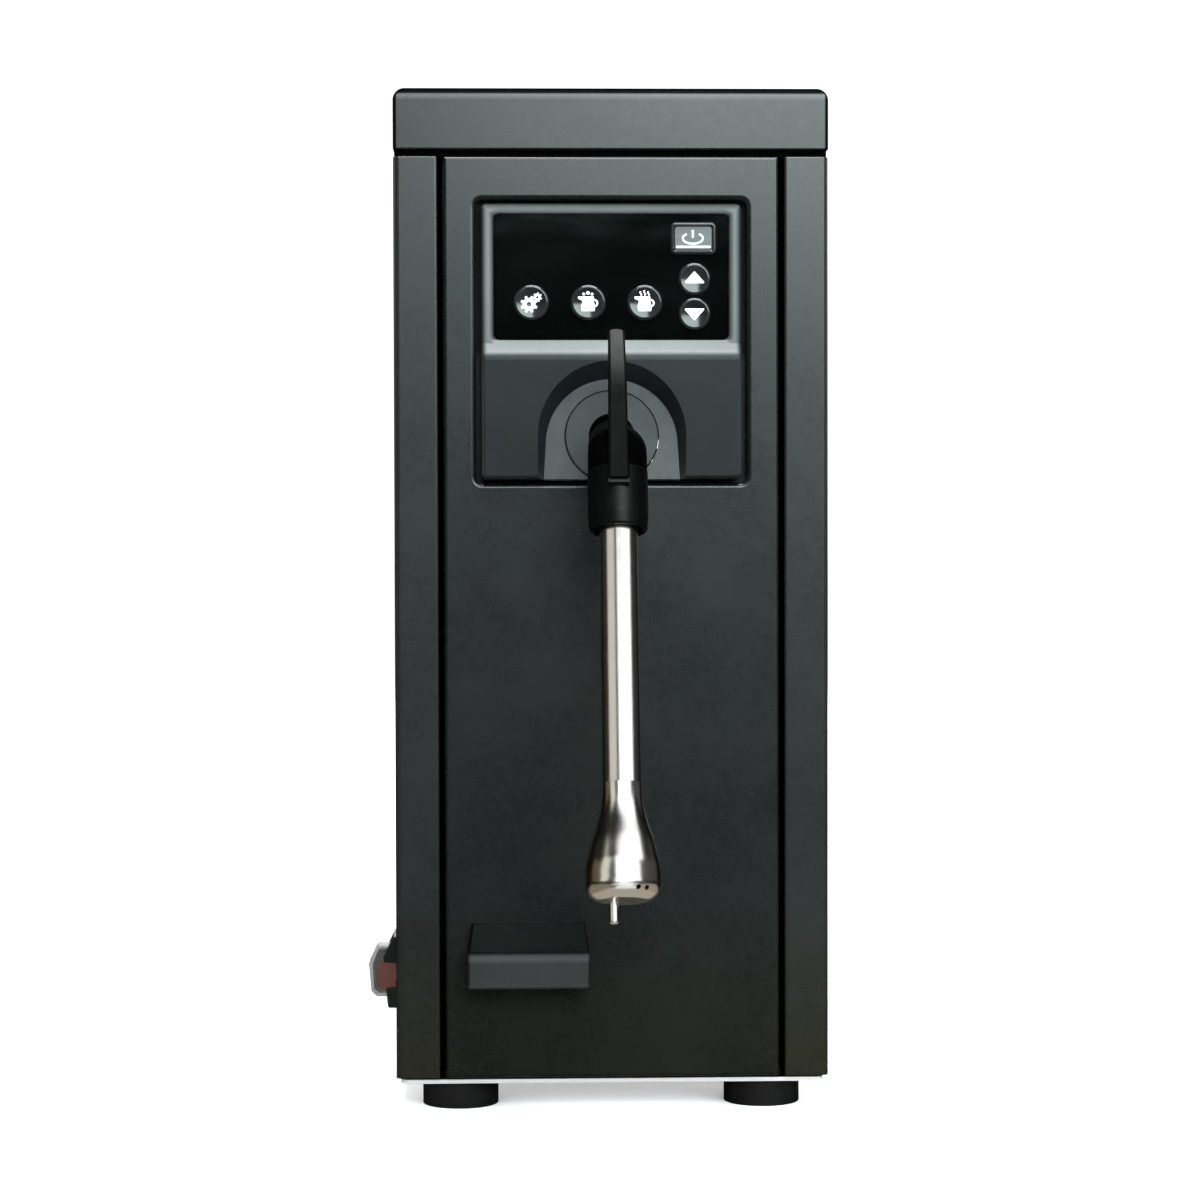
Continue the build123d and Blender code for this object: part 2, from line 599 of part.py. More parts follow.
# key board with the digit display
with BuildPart() as display_board:
    with BuildSketch(front_at(-14.6)):
        with Locations((0, 327.4)):
            RectangleRounded(95, 51, 1.5)
    extrude(amount=1.6)
    with BuildSketch(front_at(-13.1)):
        with Locations((-14, 339.5)):
            Rectangle(38, 15)
    extrude(amount=7.4)
    with BuildSketch(front_at(-14.5)):
        with Locations((0, 340)):
            Rectangle(26, 8)
        with Locations((30, 318)):
            Rectangle(12, 10)
    extrude(amount=-5)
display_board.part.label = "display_board"
export_step(display_board.part, "parts/display_board.step")

# six key switches soldered in front of the board
with BuildPart() as button_switches:
    with BuildSketch(front_at(-13.0)):
        with Locations(POWER_XZ, UP_XZ, DOWN_XZ, SET_XZ, FROTH_XZ, STEAM_XZ):
            Rectangle(6.2, 6.2)
    extrude(amount=2.6)
    with BuildSketch(front_at(-13.0)):
        with Locations(POWER_XZ, UP_XZ, DOWN_XZ, SET_XZ, FROTH_XZ, STEAM_XZ):
            Circle(1.7)
    extrude(amount=3.5)
button_switches.part.label = "button_switches"
export_step(button_switches.part, "parts/button_switches.step")

# power button, rounded rectangle
with BuildPart() as power_button:
    with BuildSketch(front_at(-5.6)):
        with Locations(POWER_XZ):
            RectangleRounded(POWER_W + 1.6, POWER_H + 1.6, 2.6)
    extrude(amount=1.4)
    with BuildSketch(front_at(-5.6)):
        with Locations(POWER_XZ):
            RectangleRounded(POWER_W, POWER_H, 2.0)
    extrude(amount=5.0)
    fillet(power_button.faces().sort_by(Axis.Y)[0].edges(), 0.9)
    # dished face inside a raised rim
    with BuildSketch(front_at(-0.5)):
        with Locations(POWER_XZ):
            RectangleRounded(POWER_W - 1.9, POWER_H - 1.9, 1.1)
    with BuildSketch(front_at(-1.3)):
        with Locations(POWER_XZ):
            RectangleRounded(POWER_W - 3.5, POWER_H - 3.5, 1.1)
    loft(ruled=True, mode=Mode.SUBTRACT)
    with BuildSketch(front_at(-5.5)):
        with Locations(POWER_XZ):
            Circle(2.0)
    extrude(amount=-2.8)
power_button.part.label = "power_button"
export_step(power_button.part, "parts/power_button.step")

# up button
with BuildPart() as up_button:
    with BuildSketch(front_at(-5.6)):
        with Locations(UP_XZ):
            Circle(SMALL_R + 0.4)
    extrude(amount=1.4)
    with BuildSketch(front_at(-5.6)):
        with Locations(UP_XZ):
            Circle(SMALL_R)
    extrude(amount=5.0)
    fillet(up_button.faces().sort_by(Axis.Y)[0].edges(), 0.9)
    # face dished to a shallow sphere inside a raised rim
    with Locations((UP_XZ[0], yF + 0.6 - (DISH_R**2 - (SMALL_R - 1.1) ** 2) ** 0.5, UP_XZ[1])):
        Sphere(DISH_R, mode=Mode.SUBTRACT)
    with BuildSketch(front_at(-5.5)):
        with Locations(UP_XZ):
            Circle(2.0)
    extrude(amount=-2.8)
up_button.part.label = "up_button"
export_step(up_button.part, "parts/up_button.step")

# down button
with BuildPart() as down_button:
    with BuildSketch(front_at(-5.6)):
        with Locations(DOWN_XZ):
            Circle(SMALL_R + 0.4)
    extrude(amount=1.4)
    with BuildSketch(front_at(-5.6)):
        with Locations(DOWN_XZ):
            Circle(SMALL_R)
    extrude(amount=5.0)
    fillet(down_button.faces().sort_by(Axis.Y)[0].edges(), 0.9)
    # face dished to a shallow sphere inside a raised rim
    with Locations((DOWN_XZ[0], yF + 0.6 - (DISH_R**2 - (SMALL_R - 1.1) ** 2) ** 0.5, DOWN_XZ[1])):
        Sphere(DISH_R, mode=Mode.SUBTRACT)
    with BuildSketch(front_at(-5.5)):
        with Locations(DOWN_XZ):
            Circle(2.0)
    extrude(amount=-2.8)
down_button.part.label = "down_button"
export_step(down_button.part, "parts/down_button.step")

# settings button
with BuildPart() as settings_button:
    with BuildSketch(front_at(-5.6)):
        with Locations(SET_XZ):
            Circle(BIG_R + 0.8)
    extrude(amount=1.4)
    with BuildSketch(front_at(-5.6)):
        with Locations(SET_XZ):
            Circle(BIG_R)
    extrude(amount=5.0)
    fillet(settings_button.faces().sort_by(Axis.Y)[0].edges(), 0.9)
    # face dished to a shallow sphere inside a raised rim
    with Locations((SET_XZ[0], yF + 0.6 - (DISH_R**2 - (BIG_R - 1.1) ** 2) ** 0.5, SET_XZ[1])):
        Sphere(DISH_R, mode=Mode.SUBTRACT)
    with BuildSketch(front_at(-5.5)):
        with Locations(SET_XZ):
            Circle(2.0)
    extrude(amount=-2.8)
settings_button.part.label = "settings_button"
export_step(settings_button.part, "parts/settings_button.step")

# froth button
with BuildPart() as froth_button:
    with BuildSketch(front_at(-5.6)):
        with Locations(FROTH_XZ):
            Circle(BIG_R + 0.8)
    extrude(amount=1.4)
    with BuildSketch(front_at(-5.6)):
        with Locations(FROTH_XZ):
            Circle(BIG_R)
    extrude(amount=5.0)
    fillet(froth_button.faces().sort_by(Axis.Y)[0].edges(), 0.9)
    # face dished to a shallow sphere inside a raised rim
    with Locations((FROTH_XZ[0], yF + 0.6 - (DISH_R**2 - (BIG_R - 1.1) ** 2) ** 0.5, FROTH_XZ[1])):
        Sphere(DISH_R, mode=Mode.SUBTRACT)
    with BuildSketch(front_at(-5.5)):
        with Locations(FROTH_XZ):
            Circle(2.0)
    extrude(amount=-2.8)
froth_button.part.label = "froth_button"
export_step(froth_button.part, "parts/froth_button.step")

# steam button
with BuildPart() as steam_button:
    with BuildSketch(front_at(-5.6)):
        with Locations(STEAM_XZ):
            Circle(BIG_R + 0.8)
    extrude(amount=1.4)
    with BuildSketch(front_at(-5.6)):
        with Locations(STEAM_XZ):
            Circle(BIG_R)
    extrude(amount=5.0)
    fillet(steam_button.faces().sort_by(Axis.Y)[0].edges(), 0.9)
    # face dished to a shallow sphere inside a raised rim
    with Locations((STEAM_XZ[0], yF + 0.6 - (DISH_R**2 - (BIG_R - 1.1) ** 2) ** 0.5, STEAM_XZ[1])):
        Sphere(DISH_R, mode=Mode.SUBTRACT)
    with BuildSketch(front_at(-5.5)):
        with Locations(STEAM_XZ):
            Circle(2.0)
    extrude(amount=-2.8)
steam_button.part.label = "steam_button"
export_step(steam_button.part, "parts/steam_button.step")

# screws behind the front panel: housing flange and outlet hood
with BuildPart() as panel_screws:
    with BuildSketch(front_at(-9.05)):
        with Locations(*flange_screws):
            Circle(3.0)
    extrude(amount=-1.8)
    with BuildSketch(front_at(-9.05)):
        with Locations(*flange_screws):
            Circle(1.5)
    extrude(amount=6.4)
    with BuildSketch(front_at(-SHEET)):
        with Locations(*hood_screws):
            Circle(3.0)
    extrude(amount=-1.8)
    with BuildSketch(front_at(-SHEET)):
        with Locations(*hood_screws):
            Circle(1.5)
    extrude(amount=6.4)
panel_screws.part.label = "panel_screws"
export_step(panel_screws.part, "parts/panel_screws.step")

# ---------------------------------------------------------------- ball joint and wand
# fixed socket behind the disc: spherical seat, trunnion bores, steam tail and air nipple
SOCKET_PL = Plane(origin=BALL, x_dir=(1, 0, 0), z_dir=(0, nY, nZ))
with BuildPart() as ball_socket:
    with BuildSketch(SOCKET_PL.offset(-16)):
        Circle(17.5)
    extrude(amount=17.3)
    with BuildSketch(SOCKET_PL.offset(-20)):
        Circle(7.5)
    extrude(amount=5)
    with BuildSketch(SOCKET_PL.offset(-34)):
        Circle(6.0)
    extrude(amount=15)
    with BuildSketch(Plane.YZ.offset(-14.5)):
        with Locations((BALL.Y + 26 * cos(radians(INCLINE)), BALL.Z - 26 * sin(radians(INCLINE)))):
            Circle(3.4)
    extrude(amount=12)
    # seat, trunnion bores and steam way
    with BuildSketch(SOCKET_PL):
        Circle(4.2)
    extrude(amount=-30, mode=Mode.SUBTRACT)
    with Locations(BALL):
        Sphere(BALL_R + 0.15, mode=Mode.SUBTRACT)
    with BuildSketch(Plane.YZ):
        with Locations((BALL.Y, BALL.Z)):
            Circle(3.05)
    extrude(amount=15.2, both=True, mode=Mode.SUBTRACT)
    # open slots in front of the trunnion bores, through which the ball is put in
    with BuildSketch(SOCKET_PL):
        Rectangle(30.4, 6.1)
    extrude(amount=5, mode=Mode.SUBTRACT)
    # flat below, clear of the edge of the cut-out
    with BuildSketch(Plane.XY.offset(CUT_Z0 + 0.1)):
        with Locations((0, yF)):
            Rectangle(60, 60)
    extrude(amount=-12, mode=Mode.SUBTRACT)
ball_socket.part.label = "ball_socket"
export_step(ball_socket.part, "parts/ball_socket.step")

# disc round the ball, set in the surround
with BuildPart() as escutcheon_disc:
    with BuildSketch(DISC_PL.offset(-2.7)):
        Circle(DISC_R)
    extrude(amount=3.3)
    fillet(escutcheon_disc.edges().filter_by(GeomType.CIRCLE).sort_by(Axis.Y)[0], 0.5)
    with Locations(BALL):
        Sphere(BALL_R + 0.15, mode=Mode.SUBTRACT)
escutcheon_disc.part.label = "escutcheon_disc"
export_step(escutcheon_disc.part, "parts/escutcheon_disc.step")

# ball with trunnions and the neck on which the arm turns
with BuildPart() as joint_ball:
    with Locations(BALL):
        Sphere(BALL_R)
    with BuildSketch(Plane.YZ):
        with Locations((BALL.Y, BALL.Z)):
            Circle(3.0)
    extrude(amount=15.0, both=True)
    with BuildSketch(NECK_PL):
        Circle(NECK_R)
    extrude(amount=NECK_L - 11.5)
    with BuildSketch(NECK_PL.offset(21.0)):
        Circle(8.2)
    extrude(amount=3.0)
    with BuildSketch(NECK_PL.offset(-20)):
        Circle(2.0)
    extrude(amount=NECK_L + 20, mode=Mode.SUBTRACT)
    fillet(
        [e for e in joint_ball.edges().filter_by(GeomType.CIRCLE) if abs(e.radius - 8.2) < 0.01], 0.6
    )
joint_ball.part.label = "joint_ball"
export_step(joint_ball.part, "parts/joint_ball.step")

# elbow: sleeve on the neck, rounded corner, stub down to the grip
with BuildPart() as arm_elbow:
    with BuildSketch(NECK_PL.offset(24.3)):
        Circle(9.8)
    extrude(amount=NECK_L - 24.3)
    fillet(arm_elbow.edges().filter_by(GeomType.CIRCLE).sort_by(Axis.Y)[-1], 1.2)
    with Locations(ELBOW):
        Sphere(11.0)
    with BuildSketch(WAND_PL):
        Circle(11.0)
    extrude(amount=GRIP_T0 - 0.1)
    with BuildSketch(NECK_PL.offset(20)):
        Circle(NECK_R + 0.05)
    extrude(amount=NECK_L - 11.0 - 20, mode=Mode.SUBTRACT)
    with BuildSketch(NECK_PL.offset(40)):
        Circle(2.4)
    extrude(amount=NECK_L - 40, mode=Mode.SUBTRACT)
    with BuildSketch(WAND_PL):
        Circle(TUBE_R + 0.02)
    extrude(amount=20, mode=Mode.SUBTRACT)
    with BuildSketch(WAND_PL.offset(GRIP_T0 - 0.05)):
        Circle(GRIP_R + 0.15)
    extrude(amount=30, mode=Mode.SUBTRACT)
    # slot for the thumb lever
    with BuildSketch(WAND_SIDE.offset(-4.0)):
        with BuildLine():
            Polyline((7.75, -20), (20, -20), (20, 9), (7.75, 9), close=True)
        make_face()
    extrude(amount=8.0, mode=Mode.SUBTRACT)
arm_elbow.part.label = "arm_elbow"
export_step(arm_elbow.part, "parts/arm_elbow.step")

# thumb lever: slim bar in line with the wand, its tip bent back, its foot let into the elbow and the collar
# stations up the lever: forward of the wand axis, down the wand, lean back, width, thickness, corner
lever_stations = [
    (10.05, LEVER_T1, 0, 7.7, 4.5, 1.3),
    (10.05, -20.0, 0, 7.0, 4.5, 1.3),
    (9.5, -29.0, 10, 6.8, 4.2, 1.25),
    (7.5, -38.5, 21, 6.5, 3.9, 1.2),
    (4.0, LEVER_T0 - 0.2, 29, 6.2, 3.6, 1.15),
]
lever_sections = []
for forward, down, lean, width, thick, corner in lever_stations:
    lever_up = WAND_SIDE.x_dir * -sin(radians(lean)) + WAND_SIDE.y_dir * -cos(radians(lean))
    lever_at = WAND_SIDE.from_local_coords(Vector(forward, down, 0))
    with BuildSketch(Plane(origin=lever_at, x_dir=(1, 0, 0), z_dir=lever_up)) as lever_section:
        RectangleRounded(width, thick, corner)
    lever_sections.append(lever_section.sketch)
with BuildPart() as thumb_lever:
    loft(sections=lever_sections[:2], ruled=True)
    loft(sections=lever_sections[1:])
    # rounded tip
    with BuildSketch(WAND_FRONT.offset(-12)):
        with BuildLine():
            Polyline((-5, -LEVER_T0 - 4.4), (-5, -LEVER_T1 - 2), (5, -LEVER_T1 - 2), (5, -LEVER_T0 - 4.4))
            ThreePointArc((5, -LEVER_T0 - 4.4), (0, -LEVER_T0), (-5, -LEVER_T0 - 4.4))
        make_face()
    extrude(amount=40, mode=Mode.INTERSECT)
thumb_lever.part.label = "thumb_lever"
export_step(thumb_lever.part, "parts/thumb_lever.step")

# grip collar round the top of the tube
with BuildPart() as wand_grip:
    with BuildSketch(WAND_SEC):
        with BuildLine():
            Polyline(
                (TUBE_R + 0.02, GRIP_T0),
                (GRIP_R - 0.7, GRIP_T0),
                (GRIP_R, GRIP_T0 + 0.9),
                (GRIP_R, GRIP_T1 - 5.0),
                (GRIP_R - 0.35, GRIP_T1 - 0.7),
                (GRIP_R - 0.9, GRIP_T1),
                (TUBE_R + 2.1, GRIP_T1),
                (TUBE_R + 1.8, GRIP_T1 - 5.0),
                (TUBE_R + 0.02, GRIP_T1 - 5.0),
                close=True,
            )
        make_face()
    revolve(axis=WAND_AXIS)
    # slot for the foot of the thumb lever, and the sloped lip below it
    with BuildSketch(WAND_SIDE.offset(-4.0)):
        with BuildLine():
            Polyline((7.75, 0), (20, 0), (20, LEVER_T1 + 0.05), (7.75, LEVER_T1 + 0.05), close=True)
        make_face()
    extrude(amount=8.0, mode=Mode.SUBTRACT)
    with BuildSketch(WAND_SIDE.offset(-3.8)):
        with BuildLine():
            Polyline(
                (9.5, LEVER_T1 + 0.05), (11.3, LEVER_T1 + 0.05), (12.2, LEVER_T1 + 2.1), (11.0, LEVER_T1 + 3.4),
                (9.5, LEVER_T1 + 3.4), close=True,
            )
        make_face()
    extrude(amount=7.6)
wand_grip.part.label = "wand_grip"
export_step(wand_grip.part, "parts/wand_grip.step")

# polished outer tube
with BuildPart() as wand_tube:
    with BuildSketch(WAND_PL.offset(0.2)):
        Circle(TUBE_R)
        Circle(TUBE_R - 1.0, mode=Mode.SUBTRACT)
    extrude(amount=NOZ_T0 - 0.3)
wand_tube.part.label = "wand_tube"
export_step(wand_tube.part, "parts/wand_tube.step")

# inner steam tube
with BuildPart() as steam_tube:
    with BuildSketch(WAND_PL.offset(3.0)):
        Circle(2.8)
        Circle(2.0, mode=Mode.SUBTRACT)
    extrude(amount=109)
steam_tube.part.label = "steam_tube"
export_step(steam_tube.part, "parts/steam_tube.step")

# flared nozzle with a spigot in the tube, two pairs of steam holes and the probe hole
with BuildPart() as nozzle_tip:
    with BuildSketch(WAND_SEC):
        with BuildLine():
            Polyline((5.3, NOZ_T0 - 8), (6.15, NOZ_T0 - 8), (6.15, NOZ_T0 - 6.2), (5.75, NOZ_T0 - 6.2),
                     (5.75, NOZ_T0 - 4.2), (6.15, NOZ_T0 - 4.2), (6.15, NOZ_T0), (7.35, NOZ_T0))
            Spline(
                (7.35, NOZ_T0), (7.7, NOZ_T0 + 6.6), (9.2, NOZ_T0 + 13.4), (11.4, NOZ_T0 + 20.3),
                (13.1, NOZ_T0 + 27.1), (13.9, NOZ_T0 + 34.1),
                tangents=[(0, 1), (0.0, 1)],
            )
            Line((13.9, NOZ_T0 + 34.1), (13.9, NOZ_T0 + 36.3))
            ThreePointArc((13.9, NOZ_T0 + 36.3), (12.3, NOZ_T1 - 2.0), (8.4, NOZ_T1))
            Polyline((8.4, NOZ_T1), (0, NOZ_T1), (0, NOZ_T1 - 12), (5.3, NOZ_T1 - 12), (5.3, NOZ_T0 - 8))
        make_face()
    revolve(axis=WAND_AXIS)
    with BuildSketch(WAND_PL.offset(NOZ_T1 + 1)):
        with Locations((PROBE_X, 0)):
            Circle(PROBE_R + 0.05)
    extrude(amount=-16, mode=Mode.SUBTRACT)
    for a in (52.5, 68, 232.5, 248):
        with BuildSketch(
            Plane(
                origin=WAND_PL.from_local_coords((15.0 * cos(radians(a)), 15.0 * sin(radians(a)), NOZ_T1 - 0.8)),
                x_dir=(1, 0, 0),
                z_dir=WAND_PL.from_local_coords((-0.9 * cos(radians(a)), -0.9 * sin(radians(a)), -1))
                - WAND_PL.from_local_coords((0, 0, 0)),
            )
        ):
            Circle(0.9)
        extrude(amount=17, mode=Mode.SUBTRACT)
nozzle_tip.part.label = "nozzle_tip"
export_step(nozzle_tip.part, "parts/nozzle_tip.step")

# seal ring in the spigot groove
with BuildPart() as nozzle_seal:
    with BuildSketch(WAND_SEC):
        with Locations((5.97, NOZ_T0 - 5.2)):
            Circle(0.2)
    revolve(axis=WAND_AXIS)
nozzle_seal.part.label = "nozzle_seal"
export_step(nozzle_seal.part, "parts/nozzle_seal.step")

# temperature probe that stands out below the nozzle
with BuildPart() as temperature_probe:
    with BuildSketch(WAND_PL.offset(NOZ_T0 - 2)):
        with Locations((PROBE_X, 0)):
            Circle(PROBE_R)
    extrude(amount=PROBE_T1 - NOZ_T0 + 2)
    fillet(temperature_probe.edges().filter_by(GeomType.CIRCLE).sort_by(Axis.Z)[0], 1.1)
temperature_probe.part.label = "temperature_probe"
export_step(temperature_probe.part, "parts/temperature_probe.step")

# ---------------------------------------------------------------- outlet hood and purge
with BuildPart() as outlet_hood:
    with BuildSketch(front_at(0)):
        with Locations((HOOD_MID, 0)):
            Polygon(
                (-HOOD_W / 2, HOOD_Z0), (HOOD_W / 2, HOOD_Z0), (HOOD_W / 2, 63.5), (HOOD_W / 2 - 1.9, HOOD_Z1),
                (1.9 - HOOD_W / 2, HOOD_Z1), (-HOOD_W / 2, 63.5), align=None,
            )
    extrude(amount=HOOD_D, taper=1.5)
    # long slope at the top, and a face that leans back a little
    with BuildSketch(Plane.YZ.offset(HOOD_MID - 40)):
        with BuildLine():
            Polyline(
                (yF - 1.2, HOOD_Z1 + 0.6), (yF - HOOD_D - 1, 63.4), (yF - HOOD_D - 1, 90), (yF - 1.2, 90), close=True
            )
        make_face()
        with BuildLine():
            Polyline((yF - 20.2, 46), (yF - 18.1, 68), (yF - 30, 68), (yF - 30, 46), close=True)
        make_face()
    extrude(amount=80, mode=Mode.SUBTRACT)
    fillet(
        [e for e in outlet_hood.edges() if e.center().Y < yF - 2.0],
        1.0,
    )
    # hollow, open below and towards the panel
    with BuildSketch(Plane.YZ.offset(HOOD_MID - HOOD_W / 2 + 4.2)):
        with BuildLine():
            Polyline(
                (yF, HOOD_Z0 - 2), (yF - 16.4, HOOD_Z0 - 2), (yF - 16.4, 62.6),
                (yF - 1.2, 70.4), (yF, 70.4), close=True,
            )
        make_face()
    extrude(amount=HOOD_W - 8.4, mode=Mode.SUBTRACT)
    # screw bosses
    with BuildSketch(front_at(0)):
        with Locations(*hood_screws):
            Circle(3.2)
    extrude(amount=17.0)
    with BuildSketch(front_at(-1)):
        with Locations(*hood_screws):
            Circle(1.5)
    extrude(amount=7.5, mode=Mode.SUBTRACT)
outlet_hood.part.label = "outlet_hood"
export_step(outlet_hood.part, "parts/outlet_hood.step")

with BuildPart() as purge_pipe:
    with BuildLine() as purge_path:
        FilletPolyline((HOOD_X, yF + 42, 60), (HOOD_X, yF - 7.2, 60), (HOOD_X, yF - 7.2, 52.5), radius=4.5)
    with BuildSketch(Plane(origin=(HOOD_X, yF + 42, 60), z_dir=(0, -1, 0))):
        Circle(3.4)
        Circle(2.4, mode=Mode.SUBTRACT)
    sweep(path=purge_path.wire())
purge_pipe.part.label = "purge_pipe"
export_step(purge_pipe.part, "parts/purge_pipe.step")

# purge solenoid valve: brass body, coil, plunger bore
PURGE_Y = -124.0
with BuildPart() as purge_valve:
    with BuildSketch(Plane.XY.offset(48)):
        with Locations((HOOD_X, PURGE_Y)):
            Rectangle(26, 27.6)
    extrude(amount=26)
    with BuildSketch(Plane.XY.offset(13)):
        with Locations((HOOD_X, PURGE_Y)):
            Rectangle(16, 16)
    extrude(amount=36)
    with BuildSketch(Plane.XY.offset(74)):
        with Locations((HOOD_X, PURGE_Y)):
            Circle(7)
    extrude(amount=5)
    with BuildSketch(Plane.XY.offset(78)):
        with Locations((HOOD_X, PURGE_Y)):
            RectangleRounded(32, 32, 5)
    extrude(amount=34)
    with BuildSketch(Plane.XY.offset(112)):
        with Locations((HOOD_X, PURGE_Y)):
            RegularPolygon(7, 6)
    extrude(amount=5)
    with BuildSketch(Plane.XY.offset(70)):
        with Locations((HOOD_X, PURGE_Y)):
            Circle(5.05)
    extrude(amount=32, mode=Mode.SUBTRACT)
purge_valve.part.label = "purge_valve"
export_step(purge_valve.part, "parts/purge_valve.step")

with BuildPart() as purge_plunger:
    with BuildSketch(Plane.XY.offset(70.05)):
        with Locations((HOOD_X, PURGE_Y)):
            Circle(5.0)
    extrude(amount=26)
    fillet(purge_plunger.edges().group_by(Axis.Z)[-1], 0.6)
purge_plunger.part.label = "purge_plunger"
export_step(purge_plunger.part, "parts/purge_plunger.step")

# ---------------------------------------------------------------- mains rocker
with BuildPart() as switch_body:
    # bezel, thickest a little above the middle
    with BuildSketch(Plane.XZ.offset(-SW_Y)):
        with BuildLine():
            Polyline(
                (xL, SW_Z + 14.8), (xL - 2.6, SW_Z + 14.8), (xL - 6.8, SW_Z + 6.5), (xL - 5.4, SW_Z - 9.6),
                (xL - 5.0, SW_Z - 13.7), (xL - 4.4, SW_Z - 14.4), (xL, SW_Z - 14.4), close=True,
            )
        make_face()
    extrude(amount=12.8, both=True)
    fillet([e for e in switch_body.edges() if e.center().X < xL - 1.0 and abs(abs(e.center().Y - SW_Y) - 12.8) < 0.05], 0.8)
    with BuildSketch(Plane.YZ.offset(xL)):
        with Locations((SW_Y, SW_Z)):
            Rectangle(21.2, 26.6)
    extrude(amount=22)
    with BuildSketch(Plane.YZ.offset(xL + 21)):
        with Locations((SW_Y - 5, SW_Z - 7), (SW_Y + 5, SW_Z - 7), (SW_Y - 5, SW_Z + 7), (SW_Y + 5, SW_Z + 7)):
            Rectangle(0.9, 6.3)
    extrude(amount=10)
    # rocker well and pivot bores
    with BuildSketch(Plane.YZ.offset(xL - 8)):
        with Locations((SW_Y, SW_Z)):
            Rectangle(18.0, 24.6)
    extrude(amount=19, mode=Mode.SUBTRACT)
    with BuildSketch(Plane.YZ.offset(xL - 8)):
        with Locations((SW_Y, SW_Z - 12.4)):
            Rectangle(18.0, 1.2)
    extrude(amount=4.6, mode=Mode.SUBTRACT)
    # the bezel is cut away beside the rocker
    with BuildSketch(Plane.XZ.offset(-SW_Y)):
        with BuildLine():
            Polyline(
                (xL - 0.9, SW_Z - 6.2), (xL - 9.0, SW_Z - 6.8), (xL - 9.0, SW_Z + 4.6), (xL - 0.9, SW_Z + 3.8), close=True,
            )
        make_face()
    extrude(amount=14, both=True, mode=Mode.SUBTRACT)
    with BuildSketch(Plane.XZ.offset(-SW_Y)):
        with Locations((xL + 1.5, SW_Z)):
            Circle(1.55)
    extrude(amount=10.2, both=True, mode=Mode.SUBTRACT)
switch_body.part.label = "switch_body"
export_step(switch_body.part, "parts/switch_body.step")

# red rocker on its pivot
with BuildPart() as rocker:
    with BuildSketch(Plane.XZ.offset(-SW_Y)):
        with BuildLine():
            Polyline(
                (xL + 5.0, SW_Z - 7.0), (xL - 7.6, SW_Z - 7.4), (xL - 9.6, SW_Z - 5.4), (xL - 9.6, SW_Z + 1.0),
                (xL - 5.4, SW_Z + 3.2), (xL - 3.0, SW_Z + 8.8), (xL + 5.0, SW_Z + 7.0), close=True,
            )
        make_face()
    extrude(amount=7.2, both=True)
    fillet(rocker.edges().filter_by(Axis.Y).sort_by(Axis.X)[0:2], 0.9)
    with BuildSketch(Plane.XZ.offset(-SW_Y)):
        with Locations((xL + 1.5, SW_Z)):
            Circle(1.5)
    extrude(amount=10.0, both=True)
rocker.part.label = "rocker"
export_step(rocker.part, "parts/rocker.step")

# clear splash cap pulled over the rocker
with BuildPart() as switch_boot:
    with BuildSketch(Plane.XZ.offset(-SW_Y)):
        with BuildLine():
            Polyline(
                (xL - 0.5, SW_Z - 10.4), (xL - 9.4, SW_Z - 10.4), (xL - 11.9, SW_Z - 8.2), (xL - 12.9, SW_Z + 3.2),
                (xL - 10.0, SW_Z + 9.3), (xL - 9.0, SW_Z + 10.2), (xL - 0.5, SW_Z + 10.2), close=True,
            )
        make_face()
    extrude(amount=8.6, both=True)
    fillet(switch_boot.edges().filter_by(Axis.Y).sort_by(Axis.X)[0:4], 1.1)
    fillet([e for e in switch_boot.edges() if e.center().X < xL - 1.0 and abs(abs(e.center().Y - SW_Y) - 8.6) < 0.05], 1.2)
    with BuildSketch(Plane.XZ.offset(-SW_Y)):
        with BuildLine():
            Polyline(
                (xL + 1, SW_Z - 9.0), (xL - 8.6, SW_Z - 9.0), (xL - 10.7, SW_Z - 7.2), (xL - 11.3, SW_Z + 2.6),
                (xL - 8.8, SW_Z + 8.9), (xL + 1, SW_Z + 8.9), close=True,
            )
        make_face()
    extrude(amount=7.35, both=True, mode=Mode.SUBTRACT)
switch_boot.part.label = "switch_boot"
export_step(switch_boot.part, "parts/switch_boot.step")

# ---------------------------------------------------------------- boiler
ports = {
    "steam": (0, BOIL_Y - PORT_R),
    "safety": (0, BOIL_Y + PORT_R),
    "sensor": (-PORT_R * cos(radians(30)), BOIL_Y + PORT_R * 0.5),
    "level": (-PORT_R * cos(radians(30)), BOIL_Y - PORT_R * 0.5),
    "feed": (PORT_R * cos(radians(30)), BOIL_Y - PORT_R * 0.5),
}
heater_xy = [(-14, BOIL_Y), (14, BOIL_Y)]
BOIL_AXIS = Axis((0, BOIL_Y, 0), (0, 0, 1))
BOIL_SEC = Plane(origin=(0, BOIL_Y, 0), x_dir=(1, 0, 0), z_dir=(0, -1, 0))

with BuildPart() as boiler_tank:
    with BuildSketch(BOIL_SEC):
        with BuildLine():
            Polyline(
                (0, BOIL_Z0), (BOIL_R - 6, BOIL_Z0), (BOIL_R, BOIL_Z0 + 6), (BOIL_R, BOIL_Z1 - 3),
                (BOIL_FL_R, BOIL_Z1 - 3), (BOIL_FL_R, BOIL_Z1), (BOIL_R - 1.6, BOIL_Z1),
                (BOIL_R - 1.6, BOIL_Z0 + 6.6), (BOIL_R - 6.6, BOIL_Z0 + 1.6), (0, BOIL_Z0 + 1.6), close=True,
            )
        make_face()
    revolve(axis=BOIL_AXIS)
    with BuildSketch(Plane.XY.offset(BOIL_Z1 - 5)):
        with Locations((0, BOIL_Y)):
            with PolarLocations(56.5, 8, start_angle=22.5):
                Circle(3.2)
    extrude(amount=8, mode=Mode.SUBTRACT)
    with BuildSketch(Plane.XY.offset(BOIL_Z0 - 1)):
        with Locations((0, BOIL_Y)):
            Circle(3.0)
    extrude(amount=6, mode=Mode.SUBTRACT)
